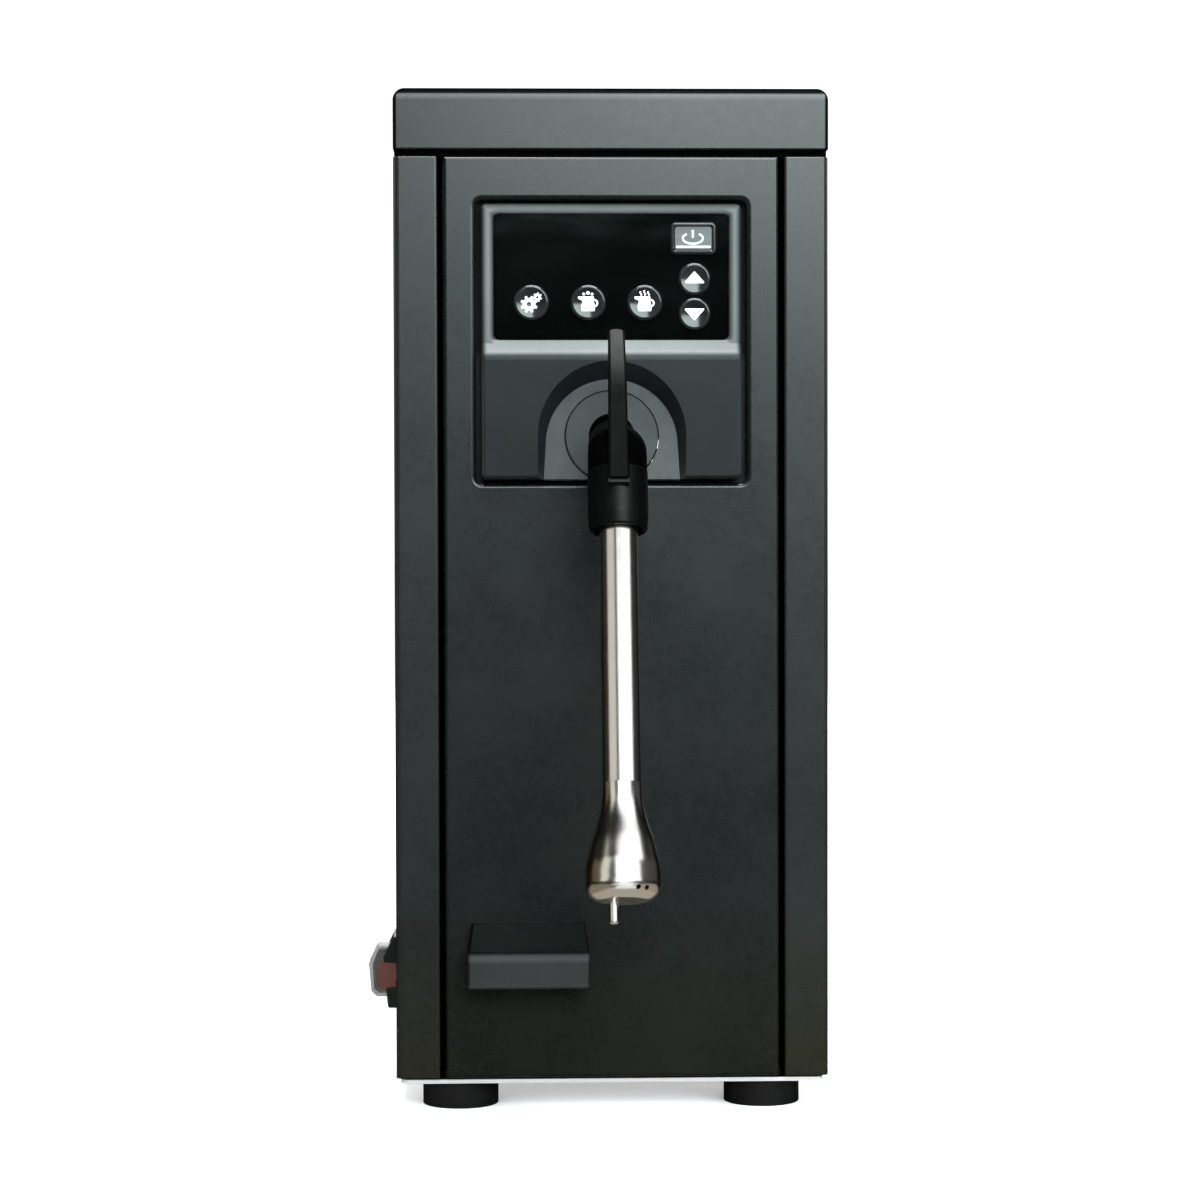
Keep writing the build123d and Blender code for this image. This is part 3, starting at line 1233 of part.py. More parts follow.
boiler_tank.part.label = "boiler_tank"
export_step(boiler_tank.part, "parts/boiler_tank.step")

with BuildPart() as boiler_gasket:
    with BuildSketch(Plane.XY.offset(BOIL_Z1)):
        with Locations((0, BOIL_Y)):
            Circle(BOIL_FL_R - 0.5)
            Circle(BOIL_R - 1.6, mode=Mode.SUBTRACT)
            with PolarLocations(56.5, 8, start_angle=22.5):
                Circle(3.2, mode=Mode.SUBTRACT)
    extrude(amount=LID_Z0 - BOIL_Z1)
boiler_gasket.part.label = "boiler_gasket"
export_step(boiler_gasket.part, "parts/boiler_gasket.step")

with BuildPart() as boiler_lid:
    with BuildSketch(Plane.XY.offset(LID_Z0)):
        with Locations((0, BOIL_Y)):
            Circle(BOIL_FL_R)
            with PolarLocations(56.5, 8, start_angle=22.5):
                Circle(3.2, mode=Mode.SUBTRACT)
        with Locations(*ports.values()):
            Circle(6.5, mode=Mode.SUBTRACT)
        with Locations(*heater_xy):
            Circle(4.3, mode=Mode.SUBTRACT)
    extrude(amount=LID_Z1 - LID_Z0)
boiler_lid.part.label = "boiler_lid"
export_step(boiler_lid.part, "parts/boiler_lid.step")

with BuildPart() as boiler_bolts:
    with BuildSketch(Plane.XY.offset(LID_Z1)):
        with Locations((0, BOIL_Y)):
            with PolarLocations(56.5, 8, start_angle=22.5):
                RegularPolygon(5.4, 6)
    extrude(amount=4)
    with BuildSketch(Plane.XY.offset(BOIL_Z1 - 10)):
        with Locations((0, BOIL_Y)):
            with PolarLocations(56.5, 8, start_angle=22.5):
                Circle(3.0)
    extrude(amount=LID_Z1 - BOIL_Z1 + 11)
    with BuildSketch(Plane.XY.offset(BOIL_Z1 - 3)):
        with Locations((0, BOIL_Y)):
            with PolarLocations(56.5, 8, start_angle=22.5):
                RegularPolygon(5.4, 6)
    extrude(amount=-5)
boiler_bolts.part.label = "boiler_bolts"
export_step(boiler_bolts.part, "parts/boiler_bolts.step")

with BuildPart() as boiler_insulation:
    with BuildSketch(Plane.XY.offset(BOIL_Z0 + 7)):
        with Locations((0, BOIL_Y)):
            Circle(BOIL_R + 8)
            Circle(BOIL_R + 0.3, mode=Mode.SUBTRACT)
    extrude(amount=132)
boiler_insulation.part.label = "boiler_insulation"
export_step(boiler_insulation.part, "parts/boiler_insulation.step")

with BuildPart() as boiler_stand:
    with BuildSketch(Plane.XY.offset(BOIL_Z0 - 3)):
        with Locations((0, BOIL_Y)):
            Circle(56)
            Circle(30, mode=Mode.SUBTRACT)
    extrude(amount=3)
    with BuildSketch(Plane.XY.offset(PANEL_Z0)):
        with Locations((0, BOIL_Y)):
            with PolarLocations(49, 3, start_angle=90):
                Circle(4.5)
    extrude(amount=BOIL_Z0 - 2 - PANEL_Z0)
    with BuildSketch(Plane.XY.offset(PANEL_Z0)):
        with Locations((0, BOIL_Y)):
            with PolarLocations(49, 3, start_angle=90):
                Circle(8.5)
    extrude(amount=2)
boiler_stand.part.label = "boiler_stand"
export_step(boiler_stand.part, "parts/boiler_stand.step")

with BuildPart() as heating_element:
    with BuildLine() as heat_path:
        FilletPolyline(
            (-14, BOIL_Y, 244), (-14, BOIL_Y, 96), (14, BOIL_Y, 96), (14, BOIL_Y, 244),
            radius=9,
        )
    with BuildSketch(Plane(origin=(-14, BOIL_Y, 244), z_dir=(0, 0, -1))):
        Circle(4.2)
    sweep(path=heat_path.wire())
    with BuildSketch(Plane.XY.offset(243)):
        with Locations(*heater_xy):
            Circle(1.6)
    extrude(amount=12)
    with BuildSketch(Plane.XY.offset(LID_Z1)):
        with Locations(*heater_xy):
            RegularPolygon(7.5, 6)
    extrude(amount=6)
heating_element.part.label = "heating_element"
export_step(heating_element.part, "parts/heating_element.step")

with BuildPart() as level_probe:
    with BuildSketch(Plane.XY.offset(LID_Z0 - 3)):
        with Locations(ports["level"]):
            Circle(6.4)
    extrude(amount=8)
    with BuildSketch(Plane.XY.offset(LID_Z1)):
        with Locations(ports["level"]):
            RegularPolygon(9, 6)
    extrude(amount=7)
    with BuildSketch(Plane.XY.offset(LID_Z1 + 6)):
        with Locations(ports["level"]):
            Circle(5)
    extrude(amount=14)
    with BuildSketch(Plane.XY.offset(150)):
        with Locations(ports["level"]):
            Circle(1.6)
    extrude(amount=110)
level_probe.part.label = "level_probe"
export_step(level_probe.part, "parts/level_probe.step")

with BuildPart() as safety_valve:
    with BuildSketch(Plane.XY.offset(LID_Z0)):
        with Locations(ports["safety"]):
            Circle(6.4)
    extrude(amount=5)
    with BuildSketch(Plane.XY.offset(LID_Z1)):
        with Locations(ports["safety"]):
            RegularPolygon(11, 6)
    extrude(amount=8)
    with BuildSketch(Plane.XY.offset(LID_Z1 + 7)):
        with Locations(ports["safety"]):
            Circle(9)
    extrude(amount=26)
    with BuildSketch(Plane.XY.offset(LID_Z1 + 32)):
        with Locations(ports["safety"]):
            RegularPolygon(7, 6)
    extrude(amount=6)
    with BuildSketch(Plane.XY.offset(LID_Z0 - 1)):
        with Locations(ports["safety"]):
            Circle(3)
    extrude(amount=20, mode=Mode.SUBTRACT)
    with BuildSketch(Plane.XZ.offset(-ports["safety"][1])):
        with Locations((0, LID_Z1 + 24)):
            Circle(2)
    extrude(amount=20, both=True, mode=Mode.SUBTRACT)
safety_valve.part.label = "safety_valve"
export_step(safety_valve.part, "parts/safety_valve.step")

with BuildPart() as pressure_sensor:
    with BuildSketch(Plane.XY.offset(LID_Z0)):
        with Locations(ports["sensor"]):
            Circle(6.4)
    extrude(amount=5)
    with BuildSketch(Plane.XY.offset(LID_Z1)):
        with Locations(ports["sensor"]):
            RegularPolygon(10, 6)
    extrude(amount=7)
    with BuildSketch(Plane.XY.offset(LID_Z1 + 6)):
        with Locations(ports["sensor"]):
            Circle(8.5)
    extrude(amount=20)
    with BuildSketch(Plane.XY.offset(LID_Z1 + 25)):
        with Locations(ports["sensor"]):
            RectangleRounded(11, 8, 1)
    extrude(amount=10)
pressure_sensor.part.label = "pressure_sensor"
export_step(pressure_sensor.part, "parts/pressure_sensor.step")

# steam solenoid valve on the lid
SX, SY = ports["steam"]
with BuildPart() as steam_valve:
    with BuildSketch(Plane.XY.offset(LID_Z0)):
        with Locations((SX, SY)):
            Circle(6.4)
    extrude(amount=7)
    with BuildSketch(Plane.XY.offset(LID_Z1 + 2)):
        with Locations((SX, SY)):
            Rectangle(26, 26)
    extrude(amount=22)
    with BuildSketch(Plane.XZ.offset(-SY + 12)):
        with Locations((SX, LID_Z1 + 13)):
            Circle(6)
    extrude(amount=14)
    with BuildSketch(Plane.XY.offset(LID_Z1 + 23)):
        with Locations((SX, SY)):
            Circle(7)
    extrude(amount=5)
    with BuildSketch(Plane.XY.offset(LID_Z1 + 27)):
        with Locations((SX, SY)):
            RectangleRounded(33, 33, 5)
    extrude(amount=36)
    with BuildSketch(Plane.XY.offset(LID_Z1 + 63)):
        with Locations((SX, SY)):
            RegularPolygon(7, 6)
    extrude(amount=5)
    with BuildSketch(Plane.XY.offset(LID_Z1 + 20)):
        with Locations((SX, SY)):
            Circle(5.05)
    extrude(amount=32, mode=Mode.SUBTRACT)
    with BuildSketch(Plane.XY.offset(LID_Z0 - 1)):
        with Locations((SX, SY)):
            Circle(2)
    extrude(amount=22, mode=Mode.SUBTRACT)
    with BuildSketch(Plane.XZ.offset(-SY + 30)):
        with Locations((SX, LID_Z1 + 13)):
            Circle(2)
    extrude(amount=-30, mode=Mode.SUBTRACT)
steam_valve.part.label = "steam_valve"
export_step(steam_valve.part, "parts/steam_valve.step")

with BuildPart() as steam_plunger:
    with BuildSketch(Plane.XY.offset(LID_Z1 + 20.05)):
        with Locations((SX, SY)):
            Circle(5.0)
    extrude(amount=26)
    fillet(steam_plunger.edges().group_by(Axis.Z)[-1], 0.6)
steam_plunger.part.label = "steam_plunger"
export_step(steam_plunger.part, "parts/steam_plunger.step")

# ---------------------------------------------------------------- pumps, pipes, inlet
PUMP_X, PUMP_Z = 45.0, 47.0
with BuildPart() as water_pump:
    with BuildSketch(Plane.XZ.offset(50)):
        with Locations((PUMP_X, PUMP_Z)):
            Circle(5)
    extrude(amount=18)
    with BuildSketch(Plane.XZ.offset(66)):
        with Locations((PUMP_X, PUMP_Z)):
            Circle(14)
    extrude(amount=20)
    with BuildSketch(Plane.XZ.offset(84)):
        with Locations((PUMP_X, PUMP_Z)):
            RectangleRounded(44, 46, 6)
    extrude(amount=44)
    with BuildSketch(Plane.XZ.offset(127)):
        with Locations((PUMP_X, PUMP_Z)):
            Circle(5)
    extrude(amount=16)
    with BuildSketch(Plane.XY.offset(PANEL_Z0)):
        with Locations((PUMP_X, -106)):
            RectangleRounded(44, 30, 4)
    extrude(amount=2)
    with BuildSketch(Plane.XY.offset(PANEL_Z0 + 1)):
        with Locations((PUMP_X - 12, -106), (PUMP_X + 12, -106)):
            Circle(6)
    extrude(amount=12)
water_pump.part.label = "water_pump"
export_step(water_pump.part, "parts/water_pump.step")

with BuildPart() as air_pump:
    with BuildSketch(Plane.XZ.offset(-142)):
        with Locations((-50, 42)):
            Circle(14)
    extrude(amount=40)
    with BuildSketch(Plane.XZ.offset(-103)):
        with Locations((-50, 42)):
            RectangleRounded(30, 40, 4)
    extrude(amount=22)
    with BuildSketch(Plane.XZ.offset(-82)):
        with Locations((-50, 52)):
            Circle(3.2)
    extrude(amount=9)
    with BuildSketch(Plane.XY.offset(PANEL_Z0)):
        with Locations((-50, 92)):
            RectangleRounded(34, 16, 3)
    extrude(amount=12)
air_pump.part.label = "air_pump"
export_step(air_pump.part, "parts/air_pump.step")

# copper pipes: steam to the socket, feed to the boiler, drain to the purge valve
tail = BALL + Vector(0, 34 * cos(radians(INCLINE)), -34 * sin(radians(INCLINE)))
FX, FY = ports["feed"]
with BuildPart() as copper_pipes:
    with BuildLine() as steam_path:
        FilletPolyline(
            (SX, SY - 26.1, LID_Z1 + 13),
            (SX, -60, LID_Z1 + 13),
            (SX, tail.Y + 26, tail.Z - 26 * tan(radians(INCLINE))),
            (SX, tail.Y + 0.1, tail.Z - 0.1 * tan(radians(INCLINE))),
            radius=14,
        )
    with BuildSketch(Plane(origin=(SX, SY - 26.1, LID_Z1 + 13), z_dir=(0, -1, 0))):
        Circle(3.2)
    sweep(path=steam_path.wire())
    with BuildLine() as feed_path:
        FilletPolyline(
            (PUMP_X, -49.9, PUMP_Z), (PUMP_X, -12, PUMP_Z), (PUMP_X, -12, 262), (FX, FY, 262), (FX, FY, LID_Z0 + 0.5),
            radius=9,
        )
    with BuildSketch(Plane(origin=(PUMP_X, -49.9, PUMP_Z), z_dir=(0, 1, 0))):
        Circle(3.2)
    sweep(path=feed_path.wire())
    with BuildSketch(Plane.XY.offset(LID_Z0)):
        with Locations((FX, FY)):
            Circle(6.4)
    extrude(amount=5)
    with BuildSketch(Plane.XY.offset(LID_Z1)):
        with Locations((FX, FY)):
            RegularPolygon(9, 6)
    extrude(amount=9)
    with BuildLine() as drain_path:
        FilletPolyline(
            (0, BOIL_Y, BOIL_Z0 + 1), (0, BOIL_Y, 60), (0, -40, 60), (HOOD_X, -84, 60), (HOOD_X, PURGE_Y + 13.9, 60),
            radius=6,
        )
    with BuildSketch(Plane(origin=(0, BOIL_Y, BOIL_Z0 + 1), z_dir=(0, 0, -1))):
        Circle(2.9)
    sweep(path=drain_path.wire())
copper_pipes.part.label = "copper_pipes"
export_step(copper_pipes.part, "parts/copper_pipes.step")

# silicone hoses: supply from the inlet valve to the pump, air from the air pump to the socket
air_end = BALL + Vector(-14.7, 26 * cos(radians(INCLINE)), -26 * sin(radians(INCLINE)))
with BuildPart() as hoses:
    with BuildLine() as supply_path:
        FilletPolyline(
            (57.2, 152, 60), (73, 152, 60), (73, 152, 28.4), (73, -158, 28.4), (PUMP_X, -158, 28.4), (PUMP_X, -158, PUMP_Z),
            (PUMP_X, -143.2, PUMP_Z),
            radius=7,
        )
    with BuildSketch(Plane(origin=(57.2, 152, 60), z_dir=(1, 0, 0))):
        Circle(4.2)
    sweep(path=supply_path.wire())
    with BuildLine() as air_path:
        FilletPolyline(
            (-50, 72.8, 52), (-50, 56, 52), (-71, 56, 52), (-71, 56, air_end.Z), (-71, air_end.Y, air_end.Z), (air_end.X, air_end.Y, air_end.Z),
            radius=7,
        )
    with BuildSketch(Plane(origin=(-50, 72.8, 52), z_dir=(0, -1, 0))):
        Circle(3.2)
    sweep(path=air_path.wire())
hoses.part.label = "hoses"
export_step(hoses.part, "parts/hoses.step")

# water inlet valve: threaded tail through the back panel, body and coil inside
with BuildPart() as inlet_valve:
    with BuildSketch(Plane.XZ.offset(-yB - 15)):
        with Locations((35, 60)):
            Circle(13.2)
    extrude(amount=14.6)
    with BuildSketch(Plane.XZ.offset(-yB - 1)):
        with Locations((35, 60)):
            Circle(12.4)
    extrude(amount=3)
    chamfer(inlet_valve.edges().filter_by(GeomType.CIRCLE).sort_by(Axis.Y)[-1], 1.0)
    with BuildSketch(Plane.XZ.offset(-yB + SHEET)):
        with Locations((35, 60)):
            Circle(18)
    extrude(amount=4)
    with BuildSketch(Plane.XZ.offset(-yB + 5)):
        with Locations((35, 60)):
            Rectangle(34, 34)
    extrude(amount=34)
    with BuildSketch(Plane.YZ.offset(50)):
        with Locations((152, 60)):
            Circle(5)
    extrude(amount=7)
    with BuildSketch(Plane.XY.offset(76)):
        with Locations((35, 158)):
            Circle(8)
    extrude(amount=6)
    with BuildSketch(Plane.XY.offset(81)):
        with Locations((35, 158)):
            RectangleRounded(32, 30, 4)
    extrude(amount=36)
    with BuildSketch(Plane.XZ.offset(-yB - 16)):
        with Locations((35, 60)):
            Circle(9.0)
    extrude(amount=18, mode=Mode.SUBTRACT)
inlet_valve.part.label = "inlet_valve"
export_step(inlet_valve.part, "parts/inlet_valve.step")

# control board on posts against the right side panel
with BuildPart() as control_board:
    with BuildSketch(Plane.YZ.offset(72)):
        with Locations((-80, 205)):
            RectangleRounded(110, 160, 2)
    extrude(amount=1.6)
    with BuildSketch(Plane.YZ.offset(73.4)):
        with Locations((-130, 130), (-30, 130), (-130, 280), (-30, 280)):
            RegularPolygon(3.5, 6)
    extrude(amount=xR - SHEET - 73.4)
    with BuildSketch(Plane.YZ.offset(72.2)):
        with Locations((-110, 150), (-85, 150)):
            Rectangle(20, 28)
    extrude(amount=-22)
    with BuildSketch(Plane.YZ.offset(72.2)):
        with Locations((-55, 155)):
            Rectangle(26, 34)
    extrude(amount=-28)
    with BuildSketch(Plane.YZ.offset(72.2)):
        with Locations((-115, 205)):
            Circle(9)
        with Locations((-90, 205)):
            Circle(9)
    extrude(amount=-24)
    with BuildSketch(Plane.YZ.offset(72.2)):
        with Locations((-60, 215)):
            Rectangle(24, 24)
    extrude(amount=-4)
    with BuildSketch(Plane.YZ.offset(72.2)):
        with Locations((-80, 270)):
            with GridLocations(16, 0, 5, 1):
                Rectangle(12, 8)
    extrude(amount=-9)
control_board.part.label = "control_board"
export_step(control_board.part, "parts/control_board.step")

# cord gland in the back panel: body, sealing dome, lock nut inside
with BuildPart() as cord_gland:
    with BuildSketch(Plane.XZ.offset(-yB)):
        with Locations((-40, 45)):
            RegularPolygon(12.5, 6)
    extrude(amount=-6)
    with BuildSketch(Plane.XZ.offset(-yB - 5)):
        with Locations((-40, 45)):
            Circle(11)
    extrude(amount=-14, taper=9)
    with BuildSketch(Plane.XZ.offset(-yB - 1)):
        with Locations((-40, 45)):
            Circle(9.0)
    extrude(amount=13)
    with BuildSketch(Plane.XZ.offset(-yB + SHEET)):
        with Locations((-40, 45)):
            RegularPolygon(13, 6)
    extrude(amount=5)
    with BuildSketch(Plane.XZ.offset(-yB - 30)):
        with Locations((-40, 45)):
            Circle(4.3)
    extrude(amount=60, mode=Mode.SUBTRACT)
    fillet(
        [e for e in cord_gland.edges().filter_by(GeomType.CIRCLE) if e.center().Y > yB + 18.5 and e.radius > 6], 1.5
    )
cord_gland.part.label = "cord_gland"
export_step(cord_gland.part, "parts/cord_gland.step")
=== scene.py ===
import json
import math

import bmesh
import bpy
from mathutils import Matrix, Vector


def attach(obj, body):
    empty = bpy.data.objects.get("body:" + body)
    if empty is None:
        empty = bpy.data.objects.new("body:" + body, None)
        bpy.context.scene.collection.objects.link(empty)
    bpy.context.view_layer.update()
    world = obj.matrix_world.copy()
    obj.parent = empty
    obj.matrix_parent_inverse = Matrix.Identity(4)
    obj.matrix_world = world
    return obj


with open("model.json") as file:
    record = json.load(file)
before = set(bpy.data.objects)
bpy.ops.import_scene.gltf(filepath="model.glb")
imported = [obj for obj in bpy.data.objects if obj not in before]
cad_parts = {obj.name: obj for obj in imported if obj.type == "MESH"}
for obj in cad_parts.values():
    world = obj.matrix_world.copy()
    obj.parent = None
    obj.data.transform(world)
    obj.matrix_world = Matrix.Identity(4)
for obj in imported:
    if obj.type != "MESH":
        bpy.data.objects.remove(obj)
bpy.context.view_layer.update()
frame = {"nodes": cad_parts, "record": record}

NODES = frame["nodes"]
scene = bpy.context.scene

YF = -0.180            # front panel face
FLOOR = YF + 0.0013    # sunk floor of the power key
DISH_R = 0.022         # radius of the dished key faces
KEYS = {
    "power": (0.0322, 0.3419),
    "up": (0.0326, 0.3260),
    "down": (0.0326, 0.3124),
    "settings": (-0.0312, 0.3168),
    "froth": (-0.0090, 0.3168),
    "steam": (0.0131, 0.3168),
}


# ------------------------------------------------------------------ node helpers
class Mat:
    """A node material with object-space texture helpers."""

    def __init__(self, name):
        self.m = bpy.data.materials.new(name)
        self.m.use_nodes = True
        self.nt = self.m.node_tree
        self.b = self.nt.nodes["Principled BSDF"]
        self.tc = self.nt.nodes.new("ShaderNodeTexCoord")

    def new(self, kind, **props):
        n = self.nt.nodes.new(kind)
        for k, v in props.items():
            setattr(n, k, v)
        return n

    def link(self, a, b):
        self.nt.links.new(a, b)

    def set(self, **values):
        for k, v in values.items():
            self.b.inputs[k.replace("_", " ")].default_value = v
        return self

    def coords(self, scale=(1, 1, 1), rot=(0, 0, 0)):
        mp = self.new("ShaderNodeMapping")
        mp.inputs["Scale"].default_value = scale
        mp.inputs["Rotation"].default_value = rot
        self.link(self.tc.outputs["Object"], mp.inputs["Vector"])
        return mp.outputs["Vector"]

    def noise(self, scale, detail=3.0, rough=0.55, stretch=(1, 1, 1), rot=(0, 0, 0), distortion=0.0):
        n = self.new("ShaderNodeTexNoise")
        n.inputs["Scale"].default_value = scale
        n.inputs["Detail"].default_value = detail
        n.inputs["Roughness"].default_value = rough
        n.inputs["Distortion"].default_value = distortion
        self.link(self.coords(stretch, rot), n.inputs["Vector"])
        return n.outputs["Fac"]

    def voronoi(self, scale, feature="F1", stretch=(1, 1, 1)):
        n = self.new("ShaderNodeTexVoronoi")
        n.feature = feature
        n.inputs["Scale"].default_value = scale
        self.link(self.coords(stretch), n.inputs["Vector"])
        return n.outputs["Distance"]

    def ramp(self, fac, stops, interp="LINEAR"):
        r = self.new("ShaderNodeValToRGB")
        cr = r.color_ramp
        cr.interpolation = interp
        while len(cr.elements) > len(stops):
            cr.elements.remove(cr.elements[-1])
        while len(cr.elements) < len(stops):
            cr.elements.new(0.5)
        for e, (p, c) in zip(cr.elements, stops):
            e.position = p
            e.color = (*c, 1) if len(c) == 3 else c
        self.link(fac, r.inputs["Fac"])
        return r.outputs["Color"]

    def range(self, fac, lo, hi, a=0.0, b=1.0):
        r = self.new("ShaderNodeMapRange")
        r.inputs["From Min"].default_value = a
        r.inputs["From Max"].default_value = b
        r.inputs["To Min"].default_value = lo
        r.inputs["To Max"].default_value = hi
        self.link(fac, r.inputs["Value"])
        return r.outputs["Result"]

    def math(self, op, a, b):
        n = self.new("ShaderNodeMath", operation=op)
        for i, v in enumerate((a, b)):
            if isinstance(v, (int, float)):
                n.inputs[i].default_value = v
            else:
                self.link(v, n.inputs[i])
        return n.outputs["Value"]

    def mix(self, fac, a, b, blend="MIX"):
        n = self.new("ShaderNodeMix", data_type="RGBA", blend_type=blend)
        for sock, v in ((n.inputs[0], fac), (n.inputs[6], a), (n.inputs[7], b)):
            if isinstance(v, (int, float)):
                sock.default_value = v
            elif isinstance(v, tuple):
                sock.default_value = (*v, 1) if len(v) == 3 else v
            else:
                self.link(v, sock)
        return n.outputs[2]

    def bump(self, *layers):
        """layers: (height socket, strength, distance in metres), stacked."""
        prev = None
        for h, strength, dist in layers:
            n = self.new("ShaderNodeBump")
            n.inputs["Strength"].default_value = strength
            n.inputs["Distance"].default_value = dist
            self.link(h, n.inputs["Height"])
            if prev is not None:
                self.link(prev, n.inputs["Normal"])
            prev = n.outputs["Normal"]
        self.link(prev, self.b.inputs["Normal"])

    def color(self, sock):
        self.link(sock, self.b.inputs["Base Color"])

    def rough(self, sock):
        self.link(sock, self.b.inputs["Roughness"])


def plastic(name, dark, light, rough=(0.36, 0.46), grain=2200.0, depth=0.00003, strength=0.25, mottle=45.0, spec=0.5, glow=0.0):
    """Moulded plastic: fine spark-eroded grain, slow mottling of colour and gloss."""
    m = Mat(name)
    slow = m.noise(mottle, 4.0, 0.6)
    tone = m.ramp(slow, [(0.3, dark), (0.7, light)])
    m.color(tone)
    if glow:
        m.link(tone, m.b.inputs["Emission Color"])
        m.set(Emission_Strength=glow)
    fine = m.noise(grain, 2.0, 0.5)
    m.rough(m.range(m.noise(mottle * 6, 3.0), rough[0], rough[1], 0.3, 0.7))
    m.bump((fine, strength, depth))
    m.set(Specular_IOR_Level=spec)
    return m.m


def metal(name, dark, light, rough=(0.1, 0.2), brush=None, scratch=0.05, mottle=30.0, metallic=1.0):
    """Metal: slow tone changes, smudged gloss and, where asked, brushing along one axis."""
    m = Mat(name)
    m.set(Metallic=metallic)
    slow = m.noise(mottle, 4.0, 0.6)
    m.color(m.ramp(slow, [(0.3, dark), (0.7, light)]))
    smudge = m.noise(mottle * 5, 5.0, 0.65)
    m.rough(m.range(smudge, rough[0], rough[1], 0.3, 0.7))
    if brush is not None:
        lines = m.noise(900.0, 4.0, 0.6, stretch=brush)
        m.bump((lines, scratch, 0.00004))
    else:
        m.bump((m.noise(700.0, 3.0), scratch, 0.00002))
    return m.m


# ------------------------------------------------------------------ materials
def powder_coat(name, lift=0.0, seam=False, crest=None):
    """Satin black powder coat: fine orange peel over a slow mottling of tone and gloss.

    With seam, the faces inside the grooves beside the front and back panels get painted shade, dark and dull, and the
    foot of the panels a painted warm reflection of the counter.
    With crest, the front edge just below that height gets a painted highlight, and above it and down the sides a
    painted dark rim, dull.
    """
    m = Mat(name)
    sep = m.new("ShaderNodeSeparateXYZ")
    m.link(m.tc.outputs["Object"], sep.inputs["Vector"])
    slow = m.noise(22.0, 5.0, 0.62)
    mid = m.noise(260.0, 4.0, 0.6)
    tone = m.ramp(slow, [(0.28, (0.0026 + lift, 0.0037 + lift, 0.0035 + lift)), (0.72, (0.0043 + lift, 0.0056 + lift, 0.0053 + lift))])
    specks = m.ramp(m.noise(1400.0, 2.0, 0.5), [(0.60, (0.0, 0.0, 0.0)), (0.80, (0.003, 0.0033, 0.0031))])
    if seam:
        # painted reflection: the foot of the panels tinted warm, as from a warm counter in front
        tone = m.mix(m.range(sep.outputs["Z"], 1.0, 0.0, 0.022, 0.080), tone, (1.12, 0.92, 0.50), "MULTIPLY")
    colour = m.mix(1.0, tone, specks, "ADD")
    gloss = m.range(m.math("ADD", m.math("MULTIPLY", slow, 0.5), m.math("MULTIPLY", mid, 0.5)), 0.255, 0.305, 0.35, 0.65)
    m.set(Specular_IOR_Level=0.5)
    if seam:
        # painted shade: the faces inside the grooves beside the panels go near black and lose their gloss
        across = m.math("ABSOLUTE", sep.outputs["X"], 0.0)
        groove = m.math("MULTIPLY", m.range(across, 0.0, 1.0, 0.0655, 0.0660), m.range(across, 1.0, 0.0, 0.0676, 0.0682))
        colour = m.mix(groove, colour, (0.0002, 0.0002, 0.0002))
        m.link(m.range(groove, 0.5, 0.0), m.b.inputs["Specular IOR Level"])
    if crest:
        # painted highlight on the lid's front edge just below the given height, and a painted dark rim, dull, above it
        # and down the sides
        height = m.math("SUBTRACT", crest, sep.outputs["Z"])
        painted_highlight = m.math("MULTIPLY", m.range(height, 1.0, 0.0, 0.0001, 0.0020), m.range(height, 0.0, 1.0, -0.0008, 0.0))
        front = m.range(sep.outputs["Y"], 1.0, 0.0, -0.1806, -0.1798)
        painted_highlight = m.math("MULTIPLY", painted_highlight, front)
        colour = m.mix(1.0, colour, m.ramp(painted_highlight, [(0.0, (0.0, 0.0, 0.0)), (1.0, (0.040, 0.041, 0.045))]), "ADD")
        side = m.range(m.math("ABSOLUTE", sep.outputs["X"], 0.0), 0.0, 1.0, 0.0833, 0.0839)
        painted_dark_rim = m.math("MULTIPLY", m.math("MAXIMUM", m.range(height, 1.0, 0.0, -0.0009, -0.0003), side), front)
        colour = m.mix(painted_dark_rim, colour, (0.0010, 0.0012, 0.0012))
        m.link(m.range(painted_dark_rim, 0.5, 0.02), m.b.inputs["Specular IOR Level"])
    m.color(colour)
    m.rough(gloss)
    m.bump((m.noise(1500.0, 3.0, 0.55), 0.06, 0.00003), (m.noise(420.0, 2.0, 0.5), 0.02, 0.00008))
    return m.m


MATS = {}
MATS["black_coat"] = powder_coat("satin_black_coat")
MATS["base_steel"] = metal("brushed_stainless", (0.35, 0.35, 0.355), (0.43, 0.43, 0.435), (0.34, 0.46), brush=(0.04, 1, 1), scratch=0.12, metallic=0.35)
MATS["zinc_steel"] = metal("zinc_plated", (0.42, 0.43, 0.46), (0.55, 0.56, 0.57), (0.25, 0.42))
MATS["polished_steel"] = metal("polished_stainless", (0.80, 0.79, 0.77), (0.87, 0.865, 0.85), (0.20, 0.26), brush=(1, 1, 0.03), scratch=0.012)
MATS["black_plastic"] = plastic("black_moulding", (0.0060, 0.0068, 0.0064), (0.0095, 0.0105, 0.0100), (0.40, 0.50), spec=0.25)
